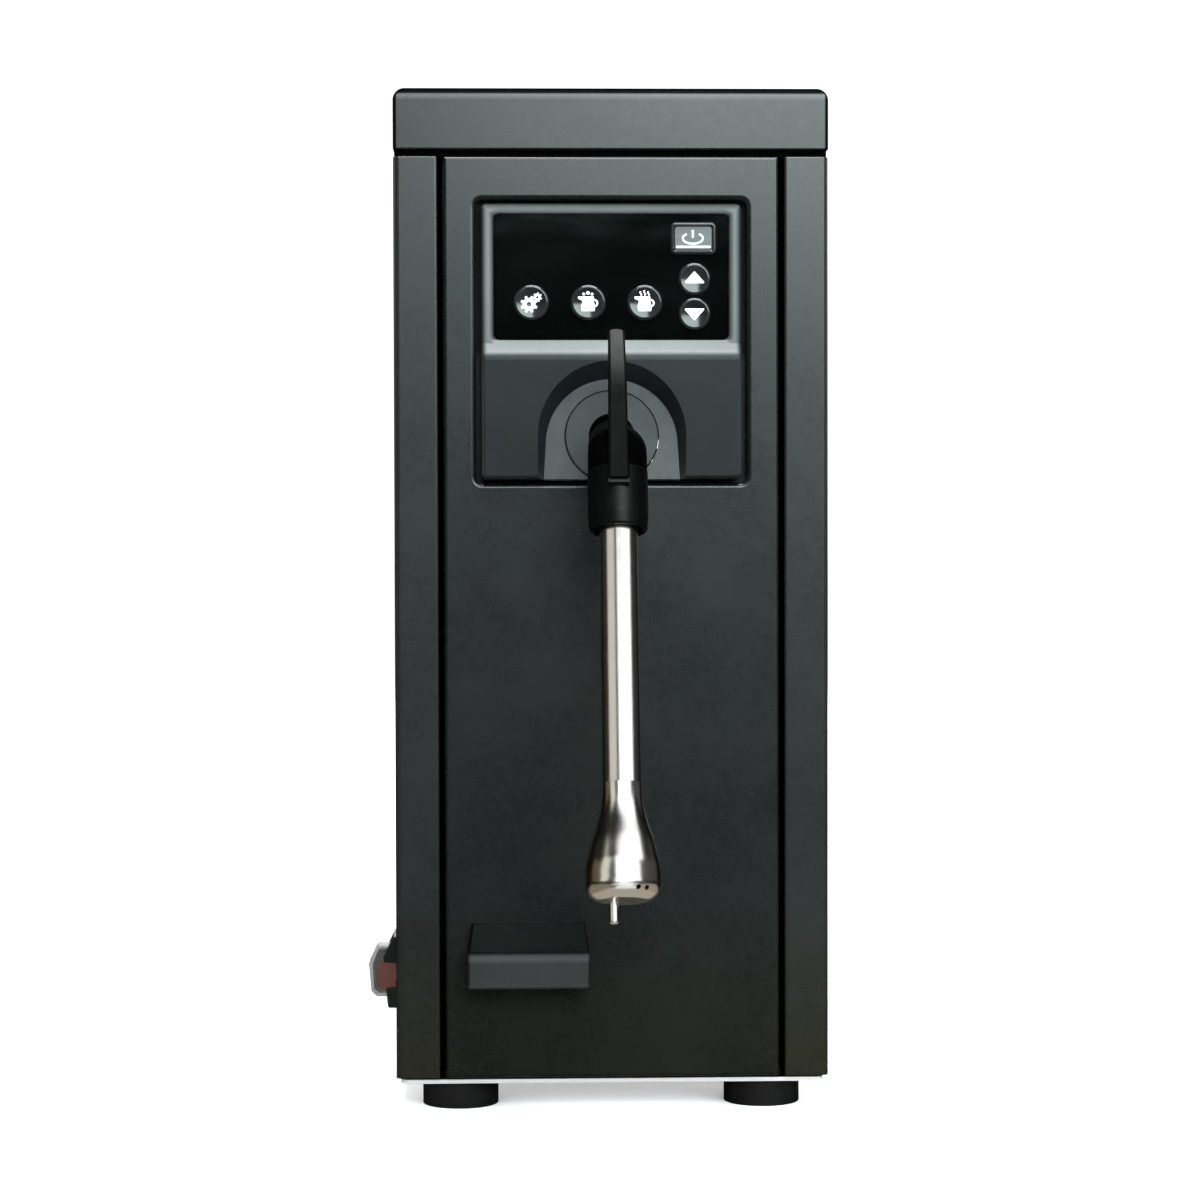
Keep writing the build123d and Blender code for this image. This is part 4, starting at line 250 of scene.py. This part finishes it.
# joint moulding: black plastic, darkened further to near black as painted shade in the recess behind the lever
MATS["joint_black"] = plastic("joint_moulding", (0.0003, 0.0004, 0.0004), (0.0007, 0.0009, 0.0009), (0.40, 0.52), spec=0.03)
MATS["surround_plastic"] = plastic("surround_moulding", (0.013, 0.0152, 0.016), (0.019, 0.022, 0.023), (0.34, 0.42), spec=0.22)
MATS["hood_plastic"] = plastic("hood_moulding", (0.0046, 0.0058, 0.0056), (0.0070, 0.0084, 0.0080), (0.34, 0.42), spec=0.16)
MATS["black_rubber"] = plastic("foot_rubber", (0.0030, 0.0030, 0.0026), (0.0055, 0.0055, 0.0048), (0.55, 0.72), grain=1200.0, depth=0.00008, spec=0.10)
MATS["grip_rubber"] = plastic("grip_rubber", (0.0008, 0.0011, 0.0010), (0.0017, 0.0022, 0.0020), (0.36, 0.46), grain=1500.0, depth=0.00006, spec=0.30)
# the rocker's glow: its own lamp, turned up as painted light to make up for what the clouded cap holds back
MATS["red_plastic"] = plastic("rocker_red", (0.20, 0.055, 0.040), (0.27, 0.075, 0.055), (0.25, 0.35), glow=2.0)
MATS["brass"] = metal("turned_brass", (0.62, 0.46, 0.20), (0.72, 0.56, 0.28), (0.2, 0.34))
MATS["copper"] = metal("copper_tube", (0.62, 0.31, 0.19), (0.74, 0.40, 0.26), (0.2, 0.36))
MATS["coil_plastic"] = plastic("coil_case", (0.02, 0.02, 0.024), (0.035, 0.035, 0.04), (0.4, 0.55))
MATS["insulation_felt"] = plastic("felt", (0.40, 0.38, 0.33), (0.54, 0.52, 0.46), (0.85, 0.95), grain=900.0, depth=0.0006, strength=0.8, spec=0.1)
MATS["red_gasket"] = plastic("gasket", (0.34, 0.05, 0.035), (0.44, 0.07, 0.05), (0.5, 0.65))
MATS["silicone_hose"] = plastic("hose", (0.55, 0.55, 0.52), (0.66, 0.66, 0.63), (0.3, 0.45))


def edge_steel():
    """Brushed stainless plate, with painted shade in the groove along its upper edge."""
    m = Mat("brushed_stainless_plate")
    slow = m.noise(30.0, 4.0, 0.6)
    sep = m.new("ShaderNodeSeparateXYZ")
    m.link(m.tc.outputs["Object"], sep.inputs["Vector"])
    # painted shade: above the groove line the plate goes near black, without metal or gloss
    groove = m.range(sep.outputs["Z"], 0.0, 1.0, 0.01205, 0.01225)
    steel = m.ramp(slow, [(0.3, (0.37, 0.37, 0.375)), (0.7, (0.45, 0.45, 0.455))])
    m.color(m.mix(groove, steel, (0.0008, 0.0008, 0.0008)))
    m.rough(m.range(m.noise(150.0, 5.0, 0.65), 0.34, 0.46, 0.3, 0.7))
    m.link(m.range(groove, 0.35, 0.0), m.b.inputs["Metallic"])
    m.link(m.range(groove, 0.5, 0.0), m.b.inputs["Specular IOR Level"])
    m.bump((m.noise(900.0, 4.0, 0.6, stretch=(0.04, 1, 1)), 0.12, 0.00004))
    return m.m


def hood_material():
    """Black moulding of the outlet hood: greyer face, dull slope darkened as painted shade, painted highlights along
    the edges.
    """
    m = Mat("hood_face_moulding")
    slow = m.noise(45.0, 4.0, 0.6)
    sep = m.new("ShaderNodeSeparateXYZ")
    m.link(m.tc.outputs["Object"], sep.inputs["Vector"])
    up = sep.outputs["Z"]
    face = m.ramp(slow, [(0.3, (0.0046, 0.0058, 0.0056)), (0.7, (0.0070, 0.0084, 0.0080))])
    # painted shade: the slope darker than the face
    slope = m.ramp(slow, [(0.3, (0.0006, 0.0020, 0.0017)), (0.7, (0.0014, 0.0032, 0.0028))])
    # painted highlight for the edges at the fold and at the foot of the face
    painted_highlight = m.ramp(slow, [(0.3, (0.0155, 0.0175, 0.0172)), (0.7, (0.0200, 0.0222, 0.0216))])
    on_slope = m.range(up, 0.0, 1.0, 0.0637, 0.0645)
    edge = m.math("MULTIPLY", m.range(up, 0.0, 1.0, 0.0605, 0.0622), m.range(up, 1.0, 0.0, 0.0628, 0.0644))
    foot = m.math("MULTIPLY", m.range(up, 0.0, 0.35, 0.0508, 0.0514), m.range(up, 1.0, 0.0, 0.0516, 0.0528))
    colour = m.mix(on_slope, face, slope)
    colour = m.mix(m.math("MAXIMUM", edge, foot), colour, painted_highlight)
    m.color(colour)
    m.rough(m.range(m.noise(270.0, 3.0), 0.34, 0.42, 0.3, 0.7))
    m.link(m.range(on_slope, 0.16, 0.04), m.b.inputs["Specular IOR Level"])
    m.bump((m.noise(2200.0, 2.0, 0.5), 0.25, 0.00003))
    return m.m


def housing_material():
    """Dark moulding with a lighter band round the window and on the ledge, partly a grey trim tone and partly a painted
    highlight on the bead, fading to a dull border at the outer edge that is left dark as painted shade.
    """
    m = Mat("housing_moulding")
    half, top = 0.0508, 0.3552
    slow = m.noise(45.0, 4.0, 0.6)
    block = m.ramp(slow, [(0.3, (0.0029, 0.0040, 0.0043)), (0.7, (0.0050, 0.0064, 0.0068))])
    # band: partly a grey trim tone, partly a painted highlight on the bead and the ledge
    band = m.ramp(slow, [(0.3, (0.058, 0.065, 0.066)), (0.7, (0.069, 0.077, 0.078))])
    sep = m.new("ShaderNodeSeparateXYZ")
    m.link(m.tc.outputs["Object"], sep.inputs["Vector"])
    from_side = m.math("SUBTRACT", half, m.math("ABSOLUTE", sep.outputs["X"], 0.0))
    from_top = m.math("SUBTRACT", top, sep.outputs["Z"])
    inward = m.math("MINIMUM", from_side, from_top)
    inside = m.range(inward, 0.0, 1.0, 0.0006, 0.0024)
    above = m.range(sep.outputs["Z"], 0.0, 1.0, 0.2955, 0.2978)
    # painted shade: past the top of the bead, where it rolls over to the window, the band goes dark; the ledge does not
    rolled_shade = m.math("MULTIPLY", m.range(inward, 0.0, 0.75, 0.0029, 0.0045), m.range(sep.outputs["Z"], 0.0, 1.0, 0.3020, 0.3026))
    lit = m.math("MULTIPLY", inside, m.range(rolled_shade, 1.0, 0.0))
    m.color(m.mix(m.math("MULTIPLY", lit, above), block, band))
    dull = m.math("MULTIPLY", above, m.range(inside, 1.0, 0.0))
    m.rough(m.math("ADD", m.range(m.noise(270.0, 3.0), 0.34, 0.40, 0.3, 0.7), m.math("MULTIPLY", dull, 0.45)))
    m.bump((m.noise(2200.0, 2.0, 0.5), 0.2, 0.00003))
    m.set(Specular_IOR_Level=0.20)
    return m.m


def board_material():
    m = Mat("circuit_board")
    traces = m.voronoi(260.0, "DISTANCE_TO_EDGE")
    base = m.ramp(m.noise(40.0, 3.0), [(0.3, (0.008, 0.07, 0.03)), (0.7, (0.012, 0.10, 0.045))])
    m.color(m.mix(m.range(traces, 1.0, 0.0, 0.02, 0.06), base, (0.02, 0.16, 0.07)))
    m.rough(m.range(m.noise(300.0), 0.3, 0.5))
    m.bump((traces, 0.2, 0.0001))
    return m.m


def window_material():
    """Glossy black front sheet with faint wipe marks."""
    m = Mat("window_gloss")
    m.color(m.ramp(m.noise(30.0, 4.0), [(0.3, (0.0003, 0.0006, 0.0005)), (0.7, (0.0008, 0.0012, 0.0011))]))
    m.rough(m.range(m.noise(55.0, 6.0, 0.7, stretch=(0.35, 1, 1.6)), 0.03, 0.075, 0.35, 0.7))
    m.bump((m.noise(90.0, 2.0), 0.015, 0.0001))
    return m.m


def button_material():
    m = Mat("button_gloss")
    m.color(m.ramp(m.noise(120.0, 3.0), [(0.3, (0.0045, 0.005, 0.005)), (0.7, (0.009, 0.010, 0.010))]))
    m.rough(m.range(m.noise(400.0, 4.0), 0.10, 0.2, 0.3, 0.7))
    m.bump((m.noise(900.0, 2.0), 0.05, 0.00002))
    return m.m


def symbol_material(name, dark, light, glow):
    """Pale print on the caps, with a faint painted glow."""
    m = Mat(name)
    tone = m.ramp(m.noise(800.0, 3.0), [(0.3, dark), (0.7, light)])
    m.color(tone)
    m.link(tone, m.b.inputs["Emission Color"])
    m.set(Emission_Strength=glow)
    m.rough(m.range(m.noise(1200.0), 0.25, 0.4))
    return m.m


def plate_material():
    m = Mat("key_plate")
    m.color(m.ramp(m.noise(600.0, 3.0, stretch=(0.1, 1, 1)), [(0.3, (0.045, 0.050, 0.052)), (0.7, (0.075, 0.082, 0.085))]))
    m.rough(m.range(m.noise(900.0), 0.28, 0.42))
    m.bump((m.noise(2000.0, 2.0), 0.15, 0.00002))
    m.set(Metallic=0.35)
    return m.m


def boot_material():
    """Clear soft cap, clouded with age."""
    m = Mat("clear_cap")
    cloud = m.noise(260.0, 5.0, 0.65)
    m.color(m.ramp(cloud, [(0.3, (0.020, 0.019, 0.017)), (0.7, (0.034, 0.033, 0.029))]))
    m.rough(m.range(cloud, 0.22, 0.42, 0.3, 0.7))
    m.set(Alpha=0.60, IOR=1.41)
    m.bump((m.noise(700.0, 3.0), 0.12, 0.0001))
    return m.m


MATS["housing_plastic"] = housing_material()
MATS["board_green"] = board_material()
MATS["window_gloss"] = window_material()
MATS["button_gloss"] = button_material()
MATS["clear_boot"] = boot_material()
SYMBOL = symbol_material("symbol_print", (0.70, 0.75, 0.74), (0.84, 0.88, 0.87), 0.25)
SYMBOL_DIM = symbol_material("symbol_print_dim", (0.34, 0.38, 0.38), (0.46, 0.50, 0.50), 0.08)
PLATE = plate_material()

SHADE = {
    # painted light: the side panels' coat lifted lighter than the front's, the right more than the left, as the key
    # lamp falls from the upper right
    "left_side_panel": powder_coat("satin_black_sides", 0.0026, seam=True),
    "right_side_panel": powder_coat("satin_black_sides_right", 0.0032, seam=True),
    "front_panel": powder_coat("satin_black_front", seam=True),
    "back_panel": powder_coat("satin_black_back", seam=True),
    # the lid's front edge carries the painted highlight and the painted dark rim
    "top_cover": powder_coat("satin_black_cover", crest=0.3973),
    "base_plate": edge_steel(),
    "outlet_hood": hood_material(),
    # the top frame, seen in the gap under the lid, is made near black as painted shade
    "top_frame": plastic("painted_shade_gap", (0.0008, 0.0008, 0.0008), (0.0014, 0.0014, 0.0014), (0.6, 0.75), spec=0.02),
    "thumb_lever": plastic("lever_moulding", (0.0010, 0.0014, 0.0011), (0.0020, 0.0025, 0.0021), (0.34, 0.44), spec=0.085),
    # elbow: black plastic, darkened further as painted shade beside and behind the lever
    "arm_elbow": plastic("elbow_moulding", (0.0006, 0.0008, 0.0006), (0.0013, 0.0017, 0.0013), (0.42, 0.54), spec=0.05),
    "escutcheon_disc": plastic("disc_moulding", (0.0095, 0.0112, 0.0112), (0.0145, 0.0168, 0.0168), (0.36, 0.44), spec=0.20),
}
slot_of = {s["node"]: s["material_slot"] for s in frame["record"]["subparts"]}
for name, obj in NODES.items():
    material = SHADE.get(name) or MATS[slot_of[name]]
    obj.data.materials.clear()
    obj.data.materials.append(material)


# ------------------------------------------------------------------ symbols on the keys
def flat_piece(name, polys, key, body, material, thick=0.00012, dish=None, lift=0.0):
    """Thin raised print: outlines in mm round a key's centre, laid on the cap's face, flat or dished."""
    cx, cz = KEYS[key]

    def face_y(x, z):
        if dish is None:
            return FLOOR
        rim = dish - 0.0011
        return YF + 0.0006 - math.sqrt(DISH_R**2 - rim**2) + math.sqrt(DISH_R**2 - x * x - z * z)

    bm = bmesh.new()
    for outline in polys:
        pts = list(outline)
        turn = sum(p[0] * q[1] - q[0] * p[1] for p, q in zip(pts, pts[1:] + pts[:1]))
        if turn < 0:
            pts.reverse()
        bm.faces.new([bm.verts.new((x * 1e-3, 0.0, z * 1e-3)) for x, z in pts])
    bmesh.ops.remove_doubles(bm, verts=list(bm.verts), dist=1e-6)
    if dish is not None:
        bmesh.ops.triangulate(bm, faces=list(bm.faces))
        for _ in range(2):
            long_edges = [e for e in bm.edges if e.calc_length() > 0.0007]
            if long_edges:
                bmesh.ops.subdivide_edges(bm, edges=long_edges, cuts=1)
                bmesh.ops.triangulate(bm, faces=list(bm.faces))
    ret = bmesh.ops.extrude_face_region(bm, geom=list(bm.faces))
    top = {v for v in ret["geom"] if isinstance(v, bmesh.types.BMVert)}
    for v in bm.verts:
        x, z = v.co.x, v.co.z
        v.co = (cx + x, face_y(x, z) - lift - (thick if v in top else -0.00004), cz + z)
    bmesh.ops.recalc_face_normals(bm, faces=list(bm.faces))
    me = bpy.data.meshes.new(name)
    bm.to_mesh(me)
    bm.free()
    ob = bpy.data.objects.new(name, me)
    scene.collection.objects.link(ob)
    me.materials.append(material)
    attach(ob, body)
    return ob


def circle(r, n=32, c=(0, 0)):
    return [(c[0] + r * math.cos(2 * math.pi * i / n), c[1] + r * math.sin(2 * math.pi * i / n)) for i in range(n)]


def arc_band(r0, r1, a0, a1, n=28, c=(0, 0)):
    """Ring segment from angle a0 to a1 in degrees, counter-clockwise."""
    ang = [math.radians(a0 + (a1 - a0) * i / n) for i in range(n + 1)]
    return [(c[0] + r1 * math.cos(a), c[1] + r1 * math.sin(a)) for a in ang] + [
        (c[0] + r0 * math.cos(a), c[1] + r0 * math.sin(a)) for a in reversed(ang)
    ]


def rounded(points, r, n=5):
    """Outline with each corner rounded by r."""
    out = []
    k = len(points)
    for i in range(k):
        p0, p, p1 = Vector(points[i - 1]), Vector(points[i]), Vector(points[(i + 1) % k])
        a, b = (p0 - p).normalized(), (p1 - p).normalized()
        ang = a.angle(b)
        d = min(r / math.tan(ang / 2), 0.45 * (p0 - p).length, 0.45 * (p1 - p).length)
        s, e = p + a * d, p + b * d
        for j in range(n + 1):
            t = j / n
            q = s.lerp(p, t).lerp(p.lerp(e, t), t)
            out.append((q.x, q.y))
    return out


def wave(x, z0, z1, w, amp, n=16):
    left, right = [], []
    for i in range(n + 1):
        t = i / n
        z = z0 + (z1 - z0) * t
        xx = x + amp * math.sin(2 * math.pi * t)
        left.append((xx - w / 2, z))
        right.append((xx + w / 2, z))
    return left + right[::-1]


def gear(c, hole, root, tip, teeth, turn=0.0):
    """Toothed ring as a closed set of small faces that share their edges."""
    out = []
    step = 2 * math.pi / teeth

    def at(r, a):
        return (c[0] + r * math.cos(a), c[1] + r * math.sin(a))

    for i in range(teeth):
        a0 = turn + i * step
        a1, a2 = a0 + 0.5 * step, a0 + step
        out.append([at(hole, a0), at(root, a0), at(root, a1), at(hole, a1)])
        out.append([at(hole, a1), at(root, a1), at(root, a2), at(hole, a2)])
        out.append([at(root, a0), at(tip, a0 + 0.09 * step), at(tip, a1 - 0.09 * step), at(root, a1)])
    return out


def pitcher():
    """Milk pitcher seen from the side, lip to the left, handle to the right."""
    body = rounded(
        [(-4.0, 2.3), (2.3, 2.3), (2.0, 0.9), (2.7, -1.4), (2.5, -3.3), (-2.5, -3.3), (-2.7, -1.4), (-2.1, 0.7), (-3.9, 1.5)],
        0.35,
    )
    handle = arc_band(1.05, 1.6, -62, 88, 14, (2.25, -0.25))
    return [body, handle]


def ring_part(rx, rz, w, a0, a1, c, n=30):
    """Part of an oval ring of width w."""
    ang = [math.radians(a0 + (a1 - a0) * i / n) for i in range(n + 1)]
    return [(c[0] + rx * math.cos(t), c[1] + rz * math.sin(t)) for t in ang] + [
        (c[0] + (rx - w) * math.cos(t), c[1] + (rz - w) * math.sin(t)) for t in reversed(ang)
    ]


BIG, SMALL = 0.0069, 0.0063
flat_piece("power_plate", [rounded([(-7.1, -4.4), (7.1, -4.4), (7.1, 4.4), (-7.1, 4.4)], 0.9)], "power", "power_key", PLATE, 0.00012)
flat_piece(
    "power_symbol",
    [ring_part(4.3, 2.5, 0.75, 128, 412, (-0.2, -0.05)), rounded([(-0.6, 0.1), (0.2, 0.1), (0.2, 3.2), (-0.6, 3.2)], 0.25)],
    "power", "power_key", SYMBOL_DIM, 0.00010, lift=0.00012,
)
flat_piece("power_line", [rounded([(-6.7, -3.75), (6.7, -3.75), (6.7, -3.05), (-6.7, -3.05)], 0.3)], "power", "power_key", SYMBOL, 0.00010, lift=0.00012)
flat_piece("up_symbol", [rounded([(0, 3.0), (-4.1, -1.6), (4.1, -1.6)], 0.4)], "up", "up_key", SYMBOL, dish=SMALL)
flat_piece("down_symbol", [rounded([(0, -2.6), (4.1, 2.0), (-4.1, 2.0)], 0.4)], "down", "down_key", SYMBOL, dish=SMALL)
flat_piece(
    "settings_symbol",
    gear((-0.9, -0.7), 1.05, 2.45, 3.3, 8, 0.2) + gear((2.35, 2.05), 0.55, 1.25, 1.8, 7, 0.35),
    "settings", "settings_key", SYMBOL, dish=BIG,
)
flat_piece(
    "froth_symbol",
    pitcher() + [circle(0.5, 16, (-1.7, 3.3)), circle(0.65, 18, (-0.1, 3.75)), circle(0.5, 16, (1.5, 3.3))],
    "froth", "froth_key", SYMBOL, dish=BIG,
)
flat_piece(
    "steam_symbol",
    pitcher() + [wave(-1.5, 2.75, 4.3, 0.5, 0.3), wave(0.0, 2.75, 4.7, 0.5, 0.3), wave(1.5, 2.75, 4.3, 0.5, 0.3)],
    "steam", "steam_key", SYMBOL, dish=BIG,
)


# ------------------------------------------------------------------ floor, light, camera
def floor():
    bm = bmesh.new()
    n, r = 96, 14.0
    rings = [0.0, 0.4, 1.0, 3.0, r]
    centre = bm.verts.new((0, 0, 0))
    prev = None
    for rr in rings[1:]:
        ring = [bm.verts.new((rr * math.cos(2 * math.pi * i / n), rr * math.sin(2 * math.pi * i / n), 0)) for i in range(n)]
        for i in range(n):
            if prev is None:
                bm.faces.new((centre, ring[i], ring[(i + 1) % n]))
            else:
                bm.faces.new((prev[i], ring[i], ring[(i + 1) % n], prev[(i + 1) % n]))
        prev = ring
    me = bpy.data.meshes.new("floor")
    bm.to_mesh(me)
    bm.free()
    ob = bpy.data.objects.new("floor", me)
    scene.collection.objects.link(ob)
    m = Mat("pale_floor")
    m.color(m.ramp(m.noise(3.0, 4.0), [(0.3, (0.90, 0.90, 0.895)), (0.7, (0.93, 0.93, 0.925))]))
    m.rough(m.range(m.noise(9.0), 0.75, 0.9))
    m.set(Specular_IOR_Level=0.2)
    me.materials.append(m.m)
    ob.visible_glossy = False
    return ob


FLOOR_SHEET = floor()


def area(name, loc, target, size, power, color=(1, 1, 1), spread=180.0):
    d = bpy.data.lights.new(name, "AREA")
    d.shape = "RECTANGLE"
    d.size, d.size_y = size
    d.energy = power
    d.color = color
    d.spread = math.radians(spread)
    ob = bpy.data.objects.new(name, d)
    scene.collection.objects.link(ob)
    ob.location = loc
    ob.rotation_mode = "QUATERNION"
    ob.rotation_quaternion = (Vector(target) - Vector(loc)).to_track_quat("-Z", "Y")
    ob.visible_camera = False
    return ob


def box_light(name, loc, target, size, radiance, color=(1, 1, 1)):
    return area(name, loc, target, size, radiance * math.pi * size[0] * size[1], color)


def reach(light, names, skip=False):
    """Let a light reach the named nodes only, or with skip all but these."""
    c = bpy.data.collections.new(light.name + "_reach")
    for n in names:
        c.objects.link(NODES[n])
    if skip:
        for member in c.collection_objects:
            member.light_linking.link_state = "EXCLUDE"
    light.light_linking.receiver_collection = c


WAND = ["wand_tube", "nozzle_tip", "nozzle_seal", "temperature_probe"]
ARM = ["thumb_lever", "arm_elbow", "joint_ball"]
# wide front box above and behind the camera, its lower edge just above the line of sight
reach(box_light("front_box", (0.88, -2.30, 1.25), (0.88, -0.18, 1.25), (2.0, 1.3), 10.8, (0.87, 1.0, 1.01)), WAND + ARM + ["wand_grip"], True)
# boxes round the polished tube: a tall white one in front, a white one at the right, a cream one at the left, dim brown edges
TUBE = ["wand_tube", "nozzle_seal", "temperature_probe"]
reach(box_light("wand_front", (0.13, -1.75, 0.67), (0.13, -0.24, 0.67), (1.22, 1.28), 1.6), TUBE)
reach(box_light("wand_right", (1.045, -1.231, 0.70), (0.0, -0.24, 0.20), (1.30, 1.0), 1.5), TUBE)
reach(box_light("wand_left", (-1.20, -1.05, 0.70), (0.0, -0.24, 0.20), (1.26, 1.0), 0.68, (1.0, 0.95, 0.84)), TUBE)
reach(box_light("edge_left", (-1.16, -0.08, 0.34), (0.0, -0.285, 0.11), (0.84, 0.45), 0.022, (1.0, 0.88, 0.55)), TUBE)
reach(box_light("edge_right", (1.16, -0.08, 0.34), (0.0, -0.285, 0.11), (0.84, 0.45), 0.022, (1.0, 0.94, 0.78)), TUBE)
# and round the flared nozzle, with a wide one high up in front of it
reach(box_light("nozzle_front", (0.02, -1.75, 0.67), (0.02, -0.24, 0.67), (1.46, 1.28), 1.6), ["nozzle_tip"])
reach(box_light("nozzle_top", (0.312, -0.955, 1.064), (0.0, -0.285, 0.118), (2.0, 0.55), 1.5), ["nozzle_tip"])
reach(box_light("nozzle_side", (0.86, -1.36, 0.64), (0.0, -0.285, 0.15), (0.75, 1.0), 1.5), ["nozzle_tip"])
reach(box_light("nozzle_cream", (-1.14, -0.90, 0.63), (0.0, -0.285, 0.15), (0.62, 1.02), 0.80, (1.0, 0.95, 0.82)), ["nozzle_tip"])
reach(box_light("nozzle_gold", (-1.30, -0.27, 0.36), (0.0, -0.285, 0.11), (0.85, 0.55), 0.11, (1.0, 0.80, 0.42)), ["nozzle_tip"])
reach(box_light("nozzle_dim", (1.16, -0.20, 0.34), (0.0, -0.285, 0.11), (1.1, 0.50), 0.055, (1.0, 0.94, 0.78)), ["nozzle_tip"])
# the grip: a tall box in front, a weak one above
reach(box_light("grip_front", (0.40, -1.44, 1.07), (0.0, -0.25, 0.23), (0.80, 0.66), 6.0, (0.90, 1.0, 0.95)), ["wand_grip"])
reach(box_light("grip_top", (0.10, -0.52, 1.30), (0.10, -0.52, 0.30), (0.9, 0.80), 3.0), ["wand_grip"])
# and sheets on the counter below it, warm underneath, white further out
reach(box_light("wand_below", (0.01, -0.26, 0.004), (0.01, -0.26, 1.0), (0.20, 0.24), 0.42, (1.0, 0.91, 0.74)), WAND)
reach(box_light("wand_near", (0.02, -0.45, 0.004), (0.02, -0.45, 1.0), (0.16, 0.14), 0.95), WAND)
reach(box_light("wand_below_left", (-0.265, -0.33, 0.004), (-0.265, -0.33, 1.0), (0.35, 0.38), 0.22, (1.0, 0.88, 0.64)), WAND)
reach(box_light("wand_below_right", (0.285, -0.33, 0.004), (0.285, -0.33, 1.0), (0.35, 0.38), 0.32, (1.0, 0.89, 0.68)), WAND)
reach(box_light("wand_low", (0.04, -1.13, 0.004), (0.04, -1.13, 1.0), (0.42, 1.22), 1.1), WAND)
# overhead box
reach(box_light("top_box", (0.10, -0.52, 1.30), (0.10, -0.52, 0.30), (0.9, 0.80), 20.0, (0.97, 1.0, 1.0)), ["outlet_hood", "arm_elbow", "joint_ball", "wand_grip", "top_cover", "switch_body"] + WAND, True)
# light kept under the base, so the floor between the feet stays pale
under = box_light("under_base", (0.0, 0.0, 0.0100), (0.0, 0.0, -1.0), (0.17, 0.36), 0.42)
under_floor = bpy.data.collections.new("under_base_reach")
under_floor.objects.link(FLOOR_SHEET)
under.light_linking.receiver_collection = under_floor
# low box for the face of the hood
reach(box_light("hood_front", (0.30, -1.90, 0.26), (0.0, -0.20, 0.06), (1.6, 0.30), 7.0, (0.92, 1.0, 0.99)), ["outlet_hood"])
# small boxes at either side for the bevels of the window frame
reach(box_light("frame_right", (1.50, -0.62, 0.36), (0.0, -0.19, 0.32), (0.8, 0.5), 4.0, (0.93, 1.0, 1.0)), ["control_housing"])
reach(box_light("frame_left", (-1.50, -0.62, 0.36), (0.0, -0.19, 0.32), (0.8, 0.5), 4.0, (0.93, 1.0, 1.0)), ["control_housing"])
# low fills at the sides and behind
reach(box_light("side_left", (-2.0, 0.5, 0.9), (0, 0, 0.2), (1.6, 1.2), 1.2), WAND + ARM + ["wand_grip"], True)
reach(box_light("side_right", (2.0, 0.5, 0.9), (0, 0, 0.2), (1.6, 1.2), 1.2), WAND + ARM + ["wand_grip"], True)
reach(box_light("back_fill", (0.3, 2.3, 1.2), (0, 0, 0.2), (2.0, 1.4), 6.0), WAND + ["top_cover"], True)
reach(box_light("back_lid", (0.3, 2.3, 1.2), (0, 0, 0.2), (2.0, 1.4), 0.9), ["top_cover"])

world = bpy.data.worlds.new("studio")
scene.world = world
world.use_nodes = True
wt = world.node_tree
bg = wt.nodes["Background"]
bg.inputs["Color"].default_value = (1.0, 1.0, 1.0, 1)
bg.inputs["Strength"].default_value = 1.25
world.cycles_visibility.glossy = False

scene.view_settings.view_transform = "Standard"
scene.view_settings.look = "None"
scene.view_settings.exposure = 0.0
scene.view_settings.gamma = 1.0

cam_data = bpy.data.cameras.new("camera")
cam = bpy.data.objects.new("camera", cam_data)
scene.collection.objects.link(cam)
cam_data.sensor_width = 36.0
cam_data.sensor_fit = "HORIZONTAL"
cam_data.lens = 92.064
cam_data.dof.use_dof = False
cam.rotation_mode = "XYZ"
cam.location = (-0.04399, -1.38002, 0.23286)
cam.rotation_euler = (math.radians(90.0 - 1.5417), math.radians(0.1331), math.radians(-1.8801))
cam_data.clip_start, cam_data.clip_end = 0.05, 60.0
scene.camera = cam
